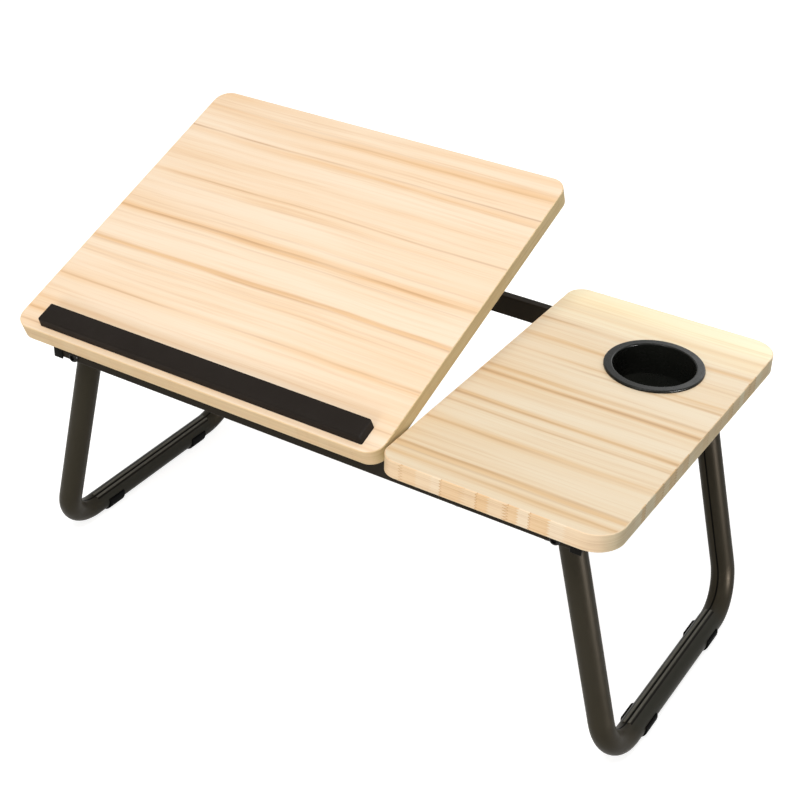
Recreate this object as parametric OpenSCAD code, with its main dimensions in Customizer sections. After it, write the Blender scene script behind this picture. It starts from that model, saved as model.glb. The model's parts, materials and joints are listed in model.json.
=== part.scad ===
// Portable lap desk: a board that tilts on a front hinge, a fixed side board with a cup well,
// a frame of flat box tube, and two bent tube legs that fold inwards under the boards.
// Z = 0 is the floor, the front is towards -Y, and the side board is at +X.

/* [Boards] */
// Width over both boards
desk_w = 590; // [540:1:640]
// Depth of the side board
desk_d = 345; // [330:1:375]
// Height of the side board's top above the floor
desk_h = 264; // [235:1:265]
// Thickness of both boards
board_t = 16; // [12:1:20]
// Width of the side board
side_w = 203; // [190:1:230]
// Gap between the boards
board_gap = 2; // [1:0.5:5]
// Corner radius of the side board, away from the tilting board
side_corner_r = 25; // [5:1:40]
// Corner radius of the side board, next to the tilting board
side_inner_corner_r = 16; // [5:1:40]
// Corner radius of the tilting board
tilt_corner_r = 16; // [5:1:40]
// How far the closed tilting board's front edge lies behind the side board's
tilt_front_setback = 7.5; // [6:0.5:9]
// How far the closed tilting board's rear edge lies in front of the side board's
tilt_rear_setback = 2.5; // [0:0.5:8]
// Tilt of the board as drawn
tilt_rest = 21; // [1:1:36]
// Thickness of the edge band
band_t = 0.8; // [0.6:0.1:1.5]
// Chamfer along the edge band's corners
band_chamfer = 0.5; // [0.1:0.1:0.5]

/* [Stop bar] */
// Length of the stop bar
stop_len = 340; // [310:1:360]
// Depth of the stop bar, front to back
stop_d = 20; // [16:1:26]
// Height of the stop bar
stop_h = 10; // [8:1:20]
// Distance from the board's front edge to the stop bar
stop_setback = 6.3; // [3:0.1:7]
// How far the stop bar's middle lies to the right of the board's middle
stop_shift = 5; // [0:0.5:12]
// Chamfer along the stop bar's top
stop_chamfer = 1.5; // [0.5:0.1:3]
// How much shorter each end is at the top than at the foot
stop_end_slope = 1; // [0.5:0.5:10]
// Distance from the stop bar's middle to its outer screws
stop_screw_span = 150; // [145:1:152]

/* [Cup holder] */
// Inner radius of the cup well
cup_r = 36; // [30:0.5:36.5]
// Inner depth of the cup well
cup_depth = 30; // [20:1:60]
// Wall and floor of the cup well
cup_wall = 1.8; // [1.2:0.1:2.2]
// Outer radius of the flange
cup_flange_r = 43.75; // [42:0.25:50]
// Thickness of the flange
cup_flange_t = 2.4; // [1.5:0.1:4]
// Rounding of the flange's outer rim and inner lip
cup_lip_r = 1.2; // [0.5:0.1:1.4]
// Distance from the side board's outer edge to the cup's middle
cup_from_side = 79.5; // [79:0.5:90]
// Distance from the side board's rear edge to the cup's middle
cup_from_back = 96; // [93:0.5:110]

/* [Frame] */
// Width of the box tube
rail_w = 10; // [8:0.5:12]
// Height of the box tube
rail_h = 20; // [19:0.5:25]
// Wall of the box tube
rail_wall = 1.2; // [0.8:0.1:1.5]
// Outer corner radius of the box tube
rail_corner_r = 1.5; // [0.5:0.1:2.5]
// Distance from the boards' outer edges to the frame's ends
end_inset = 31; // [25:0.5:40]
// Distance from the side board's front edge to the front rail
front_inset = 20; // [18.5:0.5:21.5]
// Distance from the side board's rear edge to the rear rail
rear_inset = 20; // [14:0.5:24]
// Thickness of the flange of the rail end caps
cap_t = 1.5; // [1:0.1:2]
// How far the rail end caps reach below the tube
cap_lip = 1; // [0.5:0.1:2]
// Length of the rail end caps inside the tube
cap_plug_len = 8; // [5:1:20]
// Distance from the side board's inner edge to its inner screws
board_screw_inset = 61.5; // [30:0.5:80]
// Distance from the leg pivots to the side board's outer screws
board_screw_to_pivot = 8.4; // [7:0.1:14]
// Radius of the rubber bumpers
bumper_r = 4; // [3:0.5:5]
// Height of the rubber bumpers
bumper_h = 1; // [0.6:0.1:2]
// Distance between the two rubber bumpers
bumper_gap = 240; // [160:1:290]

/* [Legs] */
// Outer diameter of the leg tube
leg_d = 22; // [18:0.5:22]
// Wall of the leg tube
leg_wall = 1.5; // [1:0.1:2]
// Bend radius of the leg tube's centreline
leg_bend_r = 40; // [30:1:60]
// Angle that the open legs lean outwards
leg_splay = 14; // [10:0.25:14]
// Depth of the pivots below the boards
pivot_drop = 15; // [14.6:0.1:15.2]
// How far the leg tube runs on above its pivot
leg_top_h = 4; // [3.5:0.1:4.5]
// Width of the seam along the inner side of the leg tube
seam_w = 0.9; // [0.4:0.1:2]
// Depth of the seam
seam_depth = 0.7; // [0.2:0.1:0.9]
// Radius of the rolled lips beside the seam of the bottom bar
lip_r = 1.8; // [1.5:0.1:2.2]
// Thickness of the spacers between the rails and the legs
spacer_t = 2.2; // [1.5:0.1:3]
// Radius of the spacers
spacer_r = 5; // [4.8:0.1:6]
// Radius of the pivot bolts
bolt_r = 3; // [2:0.5:3]
// Radius of the pivot bolts' heads
bolt_head_r = 4.9; // [4.5:0.1:5]
// Height of the pivot bolts' heads
bolt_head_h = 3; // [2:0.1:4]
// Width across the flats of the lock nuts
nut_af = 10; // [9:0.5:13]
// Height of the lock nuts
nut_h = 6; // [4:0.5:8]
// Thickness of the washers under the lock nuts
washer_t = 1.2; // [0.8:0.1:2]
// Thickness of the foot pads round the bottom bars
pad_wall = 1.8; // [1.6:0.1:2]
// Thickness of the foot pads where they stand on the floor
pad_floor_t = 1; // [0.8:0.1:1.5]
// Length of a foot pad
pad_len = 22; // [10:1:30]
// Distance between the middles of a leg's two foot pads
pad_gap = 133; // [80:1:150]
// Angle of the bottom bar that a foot pad wraps
pad_wrap = 210; // [150:5:230]
// Depth of the leg plugs inside the tube, below the pivot
plug_len = 6; // [5:0.5:12]
// Thickness of the leg plugs' flange
plug_flange_t = 1.2; // [0.8:0.1:1.4]

/* [Hinges] */
// Length of a hinge
hinge_len = 60; // [40:1:70]
// Distance from the tilting board's middle to each hinge's middle
hinge_span = 95; // [90:1:100]
// Thickness of the hinge leaves
leaf_t = 1.2; // [1:0.1:1.3]
// Gap between the closed leaves
leaf_gap = 0.2; // [0.2:0.05:0.3]
// Width of a leaf, from the pin's middle
leaf_w = 12; // [11:0.5:12.5]
// Radius of the hinge knuckles
knuckle_r = 2.5; // [2.2:0.1:2.6]
// Radius of the hinge pins
hinge_pin_r = 1.25; // [0.8:0.05:1.5]

/* [Prop and racks] */
// Distance from the furthest reach of the prop's foot to the rear rail
prop_rear_gap = 37.8; // [30:0.1:50]
// Diameter of the prop's wire
prop_d = 5; // [4:0.5:5]
// Distance between the middles of the prop's two arms
prop_w = 110; // [100:1:116]
// Centreline radius of the prop's bends
prop_bend_r = 8; // [6:0.5:12]
// Length of the prop's pivot ends beyond its bends
prop_end_len = 12; // [10:0.5:16]
// Slope of the racks, down towards the rear
rack_slope = 2.9; // [2.5:0.1:3]
// Thickness of a rack's thin end
rack_thin = 2.8; // [2.4:0.1:4]
// Depth of the rack's notches
notch_depth = 2; // [0.5:0.1:2.2]
// Angle between the tilts at which the prop's foot stands in a notch
notch_step = 7; // [6:0.5:9]
// Thickness of the racks' riveted ends
rack_land_t = 1.5; // [1:0.1:2]
// Distance between the middles of the two straps and their racks
strap_gap = 60; // [50:1:70]
// Width of the straps and racks
strap_w = 16; // [12:1:20]
// Thickness of the straps
strap_t = 3; // [2:0.1:3.2]
// Width of a prop clamp along the wire
clamp_w = 8; // [6:0.5:9]
// Thickness of the prop clamps' metal
clamp_t = 1.5; // [1:0.1:2]
// Length of a prop clamp over both ears
clamp_len = 30; // [28:1:40]

/* [Fasteners and clearances] */
// Radius of the board screws' shanks
screw_r = 2; // [1.5:0.1:2]
// Radius of the small screws' shanks
small_screw_r = 1.5; // [1:0.1:1.5]
// Radius of the rack rivets
rivet_r = 1.5; // [1:0.1:1.6]
// Height of low pan heads
pan_h = 1.6; // [1:0.1:2.5]
// How far screws reach into the boards
screw_bite = 11; // [8:0.5:11]
// Clearance round a screw, a plug or an insert
fit_gap = 0.05; // [0.02:0.01:0.1]
// Radial clearance of a running pin
run_gap = 0.05; // [0.02:0.01:0.1]
// Clearance between pieces that pass each other
clear = 0.3; // [0.2:0.05:0.4]
// Clearance between the prop's foot and the rack's teeth
tooth_gap = 0.35; // [0.3:0.05:0.5]

/* [Hidden] */
$fn = 96;
cut = 1;

// The photographed finishes, as flat colours
wood = "#f3dcb6";
wood_edge = "#dcbd90";
black_steel = "#332c24";
black_plastic = "#262422";
zinc = "#b9bbbd";

// Boards
front_y = -desk_d / 2;
board_z = desk_h - board_t;
tilt_w = desk_w - side_w - board_gap;
tilt_d = desk_d - tilt_front_setback - tilt_rear_setback;
tilt_x0 = -desk_w / 2;
tilt_mid_x = tilt_x0 + tilt_w / 2;
side_x0 = desk_w / 2 - side_w;
side_mid_x = side_x0 + side_w / 2;

// Frame
rail_front_y = front_y + front_inset;
front_inner_y = rail_front_y + rail_w;
rear_inner_y = desk_d / 2 - rear_inset - rail_w;
rear_rail_y = rear_inner_y;
frame_d = rear_inner_y + rail_w - rail_front_y;
frame_half = desk_w / 2 - end_inset;
end_inner_x = frame_half - rail_w;
rail_bottom_z = board_z - rail_h;
rail_mid_ys = [rail_front_y + rail_w / 2, rear_rail_y + rail_w / 2];

// Cup holder
cup_x = desk_w / 2 - cup_from_side;
cup_y = desk_d / 2 - cup_from_back;
cup_outer_r = cup_r + cup_wall;

// Legs: the open post leans against the lower inner edge of the end rail
leg_r = leg_d / 2;
pivot_z = board_z - pivot_drop;
pivot_x = end_inner_x - (leg_r + clear + (rail_h - pivot_drop) * sin(leg_splay)) / cos(leg_splay);
post_front_y = front_inner_y + spacer_t + clear + leg_r;
post_rear_y = rear_inner_y - spacer_t - clear - leg_r;
leg_mid_y = (post_front_y + post_rear_y) / 2;
leg_half = (post_rear_y - post_front_y) / 2;
bar_z = pad_floor_t + leg_r;
leg_reach = (pivot_z - bar_z) / cos(leg_splay);
bar_x = pivot_x + (pivot_z - bar_z) * tan(leg_splay);
bar_half = leg_half - leg_bend_r;
bolt_len = rail_w + spacer_t + leg_d + 2 * clear + washer_t + nut_h + cut;
board_screw_xs = [side_x0 + board_screw_inset, pivot_x - board_screw_to_pivot];

// Tilt hinge: its axis lies just in front of the front rail's top edge
hinge_n = leaf_t + leaf_gap / 2;
hinge_y = rail_front_y - clear - knuckle_r;
hinge_z = board_z + hinge_n;
hinge_s = hinge_y - front_y - tilt_front_setback;
hinge_xs = [tilt_mid_x - hinge_span, tilt_mid_x + hinge_span];
knuckle_len = (hinge_len - 2 * leaf_gap) / 3;
leaf_screw_offset = knuckle_r + clear + (leaf_w - knuckle_r - clear) / 2;
leaf_screw_xs = [-hinge_len / 3, 0, hinge_len / 3];
leaf_screw_head_r = small_screw_r + leaf_t;

// Stop bar
stop_mid_x = tilt_mid_x + stop_shift;
stop_screw_xs = [stop_mid_x - stop_screw_span, stop_mid_x, stop_mid_x + stop_screw_span];

// Prop: a wire whose foot slides on a straight line through the hinge axis, because the hinge, the
// prop's pivot and its foot form a triangle with two equal sides, each prop_reach long
prop_reach = (rear_inner_y - prop_rear_gap - hinge_y) / 2;
prop_r = prop_d / 2;
prop_drop = prop_r + run_gap + clamp_t;
prop_offset = asin((prop_drop + hinge_n) / prop_reach);
prop_pivot_s = hinge_s + prop_reach * cos(prop_offset);
prop_angle = -(tilt_rest - prop_offset) - 2 * rack_slope;
clamp_mid_x = prop_w / 2 + prop_bend_r + prop_end_len / 2;
clamp_screw_offset = clamp_len / 2 - 2.5 * small_screw_r;
function foot_reach(tilt) = 2 * prop_reach * cos(tilt - prop_offset + rack_slope);
function foot_y(tilt) = hinge_y + foot_reach(tilt) * cos(rack_slope);
function tooth_z(y) = hinge_z - (y - hinge_y) * tan(rack_slope) - prop_r / cos(rack_slope) - tooth_gap;

// Racks and straps
tilt_closed = asin(bumper_h / (rear_rail_y - hinge_y));
notch_tilts = [for (k = [2:5]) k * notch_step];
tilt_steepest = notch_tilts[len(notch_tilts) - 1] + 1;
teeth_y0 = foot_y(tilt_steepest) - prop_d;
teeth_y1 = foot_y(tilt_closed) + prop_r;
rack_end = 2 * rivet_r + 4;
dip_y0 = teeth_y0 - rack_end;
dip_y1 = teeth_y1 + rack_end;
dip_z = tooth_z(teeth_y1) - rack_thin;
strap_top_z = board_z - clear;
strap_xs = [tilt_mid_x - strap_gap / 2, tilt_mid_x + strap_gap / 2];
rivet_ys = [dip_y0 + (rack_end + clear) / 2, dip_y1 - (rack_end + clear) / 2];

// Places a profile drawn in Y and Z, and runs it along X from x0
module along_x(x0, len) {
    translate([x0, 0, 0])
        rotate([90, 0, 90])
            linear_extrude(len)
                children();
}

// Places a profile drawn in X and Z, and runs it along Y from y0
module along_y(y0, len) {
    translate([0, y0 + len, 0])
        rotate([90, 0, 0])
            linear_extrude(len)
                children();
}

// Cylinders that lie along X or Y
module rod_x(x0, len, r) {
    translate([x0, 0, 0])
        rotate([0, 90, 0])
            cylinder(h = len, r = r);
}

module rod_y(y0, len, r) {
    translate([0, y0, 0])
        rotate([-90, 0, 0])
            cylinder(h = len, r = r);
}

// Rectangle with round corners, centred
module round_rect(w, d, r) {
    square([w - 2 * r, d], center = true);
    square([w, d - 2 * r], center = true);
    for (x = [r - w / 2, w / 2 - r], y = [r - d / 2, d / 2 - r])
        translate([x, y])
            circle(r);
}

// Section of the box tube, with its top right corner at the origin
module box_tube() {
    translate([-rail_w / 2, -rail_h / 2])
        difference() {
            round_rect(rail_w, rail_h, rail_corner_r);
            square([rail_w - 2 * rail_wall, rail_h - 2 * rail_wall], center = true);
        }
}

// Frame of the tilting board as drawn: x as on the desk, y from its front edge, z from its underside
module on_tilt() {
    translate([0, hinge_y, hinge_z])
        rotate([tilt_rest, 0, 0])
            translate([0, -hinge_s, -hinge_n])
                children();
}

// Screw with a low pan head that hangs below z = 0, and its shank above
module pan_screw(r, len) {
    head_r = 1.9 * r;
    slot_w = 0.4 * r;
    difference() {
        union() {
            cylinder(h = len, r = r);
            translate([0, 0, -pan_h / 2])
                cylinder(h = pan_h / 2, r = head_r);
            translate([0, 0, -pan_h])
                cylinder(h = pan_h / 2, r1 = 0.7 * head_r, r2 = head_r);
        }
        for (turn = [0, 90])
            rotate([0, 0, turn])
                translate([-r, -slot_w / 2, -pan_h - cut])
                    cube([2 * r, slot_w, cut + pan_h / 2]);
    }
}

// Screw with a countersunk head that is flush at z = 0, and its shank above
module flush_screw(r, head_h, len) {
    slot_w = 0.4 * r;
    difference() {
        union() {
            cylinder(h = len, r = r);
            cylinder(h = head_h, r1 = r + head_h, r2 = r);
        }
        for (turn = [0, 90])
            rotate([0, 0, turn])
                translate([-r, -slot_w / 2, -cut])
                    cube([2 * r, slot_w, cut + head_h / 2]);
    }
}

// Hole for a flush screw
module flush_hole(r, head_h, len) {
    translate([0, 0, -cut])
        cylinder(h = len + cut + fit_gap, r = r + fit_gap);
    cylinder(h = head_h, r1 = r + head_h + fit_gap, r2 = r + fit_gap);
    translate([0, 0, -cut])
        cylinder(h = cut, r = r + head_h + fit_gap);
}

// Flat board inside its edge band, centred, with its right and its left corners' radius
module board_core(w, d, right_r, left_r) {
    core_w = w - 2 * band_t;
    core_d = d - 2 * band_t;
    linear_extrude(board_t) {
        translate([core_w / 4, 0])
            round_rect(core_w / 2, core_d, right_r - band_t);
        translate([-core_w / 4, 0])
            round_rect(core_w / 2, core_d, left_r - band_t);
        square([core_w / 2, core_d], center = true);
    }
}

// Section of the edge band, with its outer face at x = 0
module band_section() {
    polygon([
        [-band_t, 0],
        [-band_chamfer, 0],
        [0, band_chamfer],
        [0, board_t - band_chamfer],
        [-band_chamfer, board_t],
        [-band_t, board_t]
    ]);
}

// Edge band round a board, centred: four straight runs and four corners
module edge_band(w, d, right_r, left_r) {
    corner_rs = [right_r, left_r, left_r, right_r];
    for (side = [0:3]) {
        out = side % 2 == 0 ? w / 2 : d / 2;
        half = side % 2 == 0 ? d / 2 : w / 2;
        r = corner_rs[side];
        last_r = corner_rs[(side + 3) % 4];
        rotate([0, 0, 90 * side]) {
            translate([out, 0, 0])
                along_y(last_r - half, 2 * half - last_r - r)
                    band_section();
            translate([out - r, half - r, 0])
                rotate_extrude(angle = 90)
                    translate([r, 0])
                        band_section();
        }
    }
}

// Room for a hinge in the tilting board's underside, round the knuckles and over both leaves
module hinge_pocket() {
    len = hinge_len + 2 * clear;
    translate([-len / 2, hinge_s, -cut])
        cube([len, leaf_w + clear, cut + leaf_gap + 2 * leaf_t]);
    translate([-len / 2, hinge_s - knuckle_r - clear, -cut])
        cube([len, knuckle_r + clear, cut + hinge_n]);
    translate([0, hinge_s, hinge_n])
        rod_x(-len / 2, len, knuckle_r + clear);
}

module tilt_board() {
    color(wood)
        on_tilt()
            difference() {
                translate([tilt_mid_x, tilt_d / 2, 0])
                    board_core(tilt_w, tilt_d, tilt_corner_r, tilt_corner_r);
                for (x = hinge_xs) {
                    translate([x, 0, 0])
                        hinge_pocket();
                    for (dx = leaf_screw_xs)
                        translate([x + dx, hinge_s + leaf_screw_offset, leaf_gap + 2 * leaf_t])
                            cylinder(h = screw_bite + fit_gap, r = small_screw_r + fit_gap);
                }
                for (x = stop_screw_xs)
                    translate([x, stop_setback + stop_d / 2, clear])
                        flush_hole(screw_r, screw_r, board_t + cut);
                for (x = [-1, 1], y = [-1, 1])
                    translate([tilt_mid_x + x * clamp_mid_x, prop_pivot_s + y * clamp_screw_offset, -cut])
                        cylinder(h = cut + screw_bite + fit_gap, r = small_screw_r + fit_gap);
            }
}

module tilt_edge_band() {
    color(wood_edge)
        on_tilt()
            translate([tilt_mid_x, tilt_d / 2, 0])
                edge_band(tilt_w, tilt_d, tilt_corner_r, tilt_corner_r);
}

// Bar that keeps a book from sliding off, with a chamfered top and leaning ends
module stop_bar() {
    color(black_plastic)
        on_tilt()
            translate([stop_mid_x, stop_setback, board_t])
                difference() {
                    along_x(-stop_len / 2, stop_len)
                        polygon([
                            [0, 0],
                            [stop_d, 0],
                            [stop_d, stop_h - stop_chamfer],
                            [stop_d - stop_chamfer, stop_h],
                            [stop_chamfer, stop_h],
                            [0, stop_h - stop_chamfer]
                        ]);
                    for (side = [0, 1])
                        mirror([side, 0, 0])
                            along_y(-cut, stop_d + 2 * cut)
                                polygon([
                                    [stop_len / 2, 0],
                                    [stop_len / 2 + cut, 0],
                                    [stop_len / 2 + cut, stop_h + cut],
                                    [stop_len / 2 - stop_end_slope * (1 + cut / stop_h), stop_h + cut]
                                ]);
                    for (x = stop_screw_xs)
                        translate([x - stop_mid_x, stop_d / 2, -cut])
                            cylinder(h = cut + stop_h / 2 + fit_gap, r = screw_r + fit_gap);
                }
}

module stop_bar_screws() {
    color(zinc)
        on_tilt()
            for (x = stop_screw_xs)
                translate([x, stop_setback + stop_d / 2, clear])
                    flush_screw(screw_r, screw_r, board_t - clear + stop_h / 2);
}

module side_board() {
    color(wood)
        difference() {
            translate([side_mid_x, 0, board_z])
                board_core(side_w, desk_d, side_corner_r, side_inner_corner_r);
            translate([cup_x, cup_y, board_z - cut])
                cylinder(h = board_t + 2 * cut, r = cup_outer_r + clear);
            for (x = board_screw_xs, y = rail_mid_ys)
                translate([x, y, board_z - cut])
                    cylinder(h = cut + screw_bite + fit_gap, r = screw_r + fit_gap);
        }
}

module side_edge_band() {
    color(wood_edge)
        translate([side_mid_x, 0, board_z])
            edge_band(side_w, desk_d, side_corner_r, side_inner_corner_r);
}

// Cup well with a flange that rests on the side board
module cup_holder() {
    floor_z = cup_flange_t - cup_depth - cup_wall;
    color(black_plastic)
        translate([cup_x, cup_y, desk_h])
            rotate_extrude()
                difference() {
                    union() {
                        translate([0, floor_z])
                            square([cup_outer_r, cup_flange_t - cup_lip_r - floor_z]);
                        square([cup_flange_r, cup_flange_t - cup_lip_r]);
                        translate([cup_r + cup_lip_r, 0])
                            square([cup_flange_r - cup_r - 2 * cup_lip_r, cup_flange_t]);
                        for (x = [cup_r + cup_lip_r, cup_flange_r - cup_lip_r])
                            translate([x, cup_flange_t - cup_lip_r])
                                circle(cup_lip_r);
                    }
                    translate([0, floor_z + cup_wall])
                        square([cup_r, cup_depth + cut]);
                }
}

// Front or rear rail between the end rails, with its front face at y0
module rail(y0) {
    difference() {
        translate([0, y0 + rail_w, board_z])
            along_x(-end_inner_x, 2 * end_inner_x)
                box_tube();
        for (side = [-1, 1])
            translate([side * pivot_x, 0, pivot_z])
                rod_y(y0 - cut, rail_w + 2 * cut, bolt_r + fit_gap);
        for (x = board_screw_xs)
            translate([x, y0 + rail_w / 2, rail_bottom_z - cut])
                cylinder(h = rail_h + 2 * cut, r = screw_r + fit_gap);
    }
}

module front_rail() {
    color(black_steel)
        difference() {
            rail(rail_front_y);
            for (x = hinge_xs, dx = leaf_screw_xs)
                translate([x + dx, hinge_y + leaf_screw_offset, board_z - 2 * rail_wall])
                    cylinder(h = 2 * rail_wall + cut, r = small_screw_r + fit_gap);
        }
}

module rear_rail() {
    color(black_steel)
        rail(rear_rail_y);
}

// End rail that closes the frame and stops the open leg
module end_rail(side) {
    translate([side * (frame_half - rail_w / 2) + rail_w / 2, 0, board_z])
        along_y(rail_front_y, frame_d)
            box_tube();
}

module left_end_rail() {
    color(black_steel)
        end_rail(-1);
}

module right_end_rail() {
    color(black_steel)
        end_rail(1);
}

// Plugs in the four open ends of the end rails
module rail_end_caps() {
    plug_w = rail_w - 2 * (rail_wall + fit_gap);
    plug_h = rail_h - 2 * (rail_wall + fit_gap);
    mid_x = frame_half - rail_w / 2;
    color(black_plastic)
        for (side = [-1, 1], end = [0, 1])
            translate([side * mid_x, rail_front_y + end * frame_d, 0])
                mirror([0, end, 0]) {
                    translate([-rail_w / 2, -cap_t, rail_bottom_z - cap_lip])
                        cube([rail_w, cap_t, rail_h + cap_lip - clear]);
                    translate([-plug_w / 2, 0, rail_bottom_z + rail_wall + fit_gap])
                        cube([plug_w, cap_plug_len, plug_h]);
                }
}

// Flat strap between the rails: over the folded posts, and down in a dip under its rack
module strap(x) {
    translate([x, 0, 0])
        difference() {
            along_x(-strap_w / 2, strap_w)
                polygon([
                    [front_inner_y, strap_top_z],
                    [dip_y0, strap_top_z],
                    [dip_y0, dip_z],
                    [dip_y1, dip_z],
                    [dip_y1, strap_top_z],
                    [rear_inner_y, strap_top_z],
                    [rear_inner_y, strap_top_z - strap_t],
                    [dip_y1 + strap_t, strap_top_z - strap_t],
                    [dip_y1 + strap_t, dip_z - strap_t],
                    [dip_y0 - strap_t, dip_z - strap_t],
                    [dip_y0 - strap_t, strap_top_z - strap_t],
                    [front_inner_y, strap_top_z - strap_t]
                ]);
            rivet_holes(dip_z - strap_t);
        }
}

module left_strap() {
    color(black_steel)
        strap(strap_xs[0]);
}

module right_strap() {
    color(black_steel)
        strap(strap_xs[1]);
}

// Rack with a notch for each tilt; the foot pushes against the notch's upright rear side
module rack(x) {
    land_z = dip_z + rack_land_t;
    translate([x, 0, 0])
        difference() {
            along_x(-strap_w / 2, strap_w)
                polygon(concat(
                    [
                        [dip_y1 - clear, dip_z],
                        [dip_y1 - clear, land_z],
                        [teeth_y1, land_z],
                        [teeth_y1, tooth_z(teeth_y1)]
                    ],
                    [for (tilt = notch_tilts) for (p = notch(foot_y(tilt))) p],
                    [
                        [teeth_y0, tooth_z(teeth_y0)],
                        [teeth_y0, land_z],
                        [dip_y0 + clear, land_z],
                        [dip_y0 + clear, dip_z]
                    ]
                ));
            rivet_holes(dip_z);
        }
}

// Corners of one notch round the foot's place, from rear to front
function notch(y) = [
    [y + prop_r + clear, tooth_z(y + prop_r + clear)],
    [y + prop_r + clear, tooth_z(y) - notch_depth],
    [y - prop_r / 2, tooth_z(y) - notch_depth],
    [y - prop_r - notch_depth, tooth_z(y - prop_r - notch_depth)]
];

module left_rack() {
    color(zinc)
        rack(strap_xs[0]);
}

module right_rack() {
    color(zinc)
        rack(strap_xs[1]);
}

// Holes for the rivets at the rack's two ends, up from z0
module rivet_holes(z0) {
    for (y = rivet_ys)
        translate([0, y, z0 - cut])
            cylinder(h = strap_t + rack_land_t + 2 * cut, r = rivet_r + fit_gap);
}

module rack_rivets() {
    head_r = 1.6 * rivet_r;
    head_h = 0.7 * rivet_r;
    color(zinc)
        for (x = strap_xs, y = rivet_ys)
            translate([x, y, dip_z - strap_t - head_h]) {
                cylinder(h = head_h, r1 = 0.7 * head_r, r2 = head_r);
                cylinder(h = strap_t + rack_land_t + 2 * head_h, r = rivet_r);
                translate([0, 0, head_h + strap_t + rack_land_t])
                    cylinder(h = head_h, r1 = head_r, r2 = 0.7 * head_r);
            }
}

// Bumpers on the rear rail, on which the closed tilting board rests
module rubber_bumpers() {
    color(black_plastic)
        for (side = [-1, 1])
            translate([tilt_mid_x + side * bumper_gap / 2, rail_mid_ys[1], board_z])
                cylinder(h = bumper_h, r1 = bumper_r, r2 = bumper_r - bumper_h / 2);
}

// Screws up through the rails into the side board
module board_screws() {
    color(zinc)
        for (x = board_screw_xs, y = rail_mid_ys)
            translate([x, y, rail_bottom_z])
                pan_screw(screw_r, rail_h + screw_bite);
}

// Repeats its children at the four leg pivots, with y running inwards from the rail's outer face
module at_pivots() {
    for (side = [-1, 1], end = [0, 1])
        translate([side * pivot_x, end == 0 ? rail_front_y : rear_rail_y + rail_w, pivot_z])
            mirror([0, end, 0])
                children();
}

// Pan head on the rail's outer face, shank through rail, spacer, post, washer and nut
module leg_bolts() {
    color(black_steel)
        at_pivots()
            difference() {
                union() {
                    rod_y(0, bolt_len, bolt_r);
                    rod_y(-bolt_head_h / 2, bolt_head_h / 2, bolt_head_r);
                    translate([0, -bolt_head_h / 2, 0])
                        rotate([90, 0, 0])
                            cylinder(h = bolt_head_h / 2, r1 = bolt_head_r, r2 = 0.7 * bolt_head_r);
                }
                translate([0, -bolt_head_h - cut, 0])
                    rotate([-90, 0, 0])
                        cylinder(h = cut + bolt_head_h / 2, r = 0.5 * bolt_head_r, $fn = 6);
            }
}

// Ring along Y round a pivot bolt
module bolt_ring(y0, t, r) {
    difference() {
        rod_y(y0, t, r);
        rod_y(y0 - cut, t + 2 * cut, bolt_r + fit_gap);
    }
}

module leg_spacers() {
    color(black_plastic)
        at_pivots()
            bolt_ring(rail_w, spacer_t, spacer_r);
}

module leg_washers() {
    color(zinc)
        at_pivots()
            bolt_ring(rail_w + spacer_t + leg_d + 2 * clear, washer_t, spacer_r);
}

module leg_nuts() {
    nut_y = rail_w + spacer_t + leg_d + 2 * clear + washer_t;
    color(zinc)
        at_pivots()
            difference() {
                translate([0, nut_y, 0])
                    rotate([-90, 0, 0])
                        cylinder(h = nut_h, d = nut_af / cos(30), $fn = 6);
                rod_y(nut_y - cut, nut_h + 2 * cut, bolt_r + fit_gap);
            }
}

// Frame of an open leg: its pivot at the origin, its plane upright, its bottom bar below
module on_leg(side) {
    translate([side * pivot_x, leg_mid_y, pivot_z])
        rotate([0, -side * leg_splay, 0])
            children();
}

// Runs a section along the leg's U, where the section's +x points out of the U
module leg_sweep() {
    for (end = [0, 1])
        mirror([0, end, 0]) {
            translate([0, leg_half, leg_bend_r - leg_reach])
                rotate([0, 0, 90])
                    linear_extrude(leg_reach - leg_bend_r + leg_top_h)
                        children();
            translate([0, bar_half, leg_bend_r - leg_reach])
                rotate([0, 90, 0])
                    rotate_extrude(angle = 90)
                        translate([leg_bend_r, 0])
                            children();
        }
    translate([0, -bar_half, -leg_reach])
        rotate([-90, 0, 0])
            linear_extrude(2 * bar_half)
                rotate(90)
                    children();
}

// Section of the leg tube, with its seam on the inner side of the U
module leg_section() {
    difference() {
        circle(leg_r);
        circle(leg_r - leg_wall);
        translate([-leg_r - cut, -seam_w / 2])
            square([cut + seam_depth, seam_w]);
    }
}

// Rolled lips on both sides of the seam, along the straight bottom bar
module seam_lips() {
    lip_x = seam_w / 2 + lip_r;
    lip_z = sqrt(pow(leg_r - lip_r / 2, 2) - pow(lip_x, 2)) - leg_reach;
    for (side = [-1, 1])
        translate([side * lip_x, 0, lip_z]) {
            rod_y(-bar_half, 2 * bar_half, lip_r);
            for (y = [-bar_half, bar_half])
                translate([0, y, 0])
                    sphere(lip_r);
        }
}

module leg(side) {
    on_leg(side) {
        difference() {
            union() {
                leg_sweep()
                    leg_section();
                difference() {
                    seam_lips();
                    translate([0, 0, -leg_reach])
                        rod_y(-leg_half, 2 * leg_half, leg_r - leg_wall / 2);
                }
            }
            rod_y(-leg_half - leg_d, 2 * (leg_half + leg_d), bolt_r + run_gap);
        }
    }
}

module left_leg() {
    color(black_steel)
        leg(-1);
}

module right_leg() {
    color(black_steel)
        leg(1);
}

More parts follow.
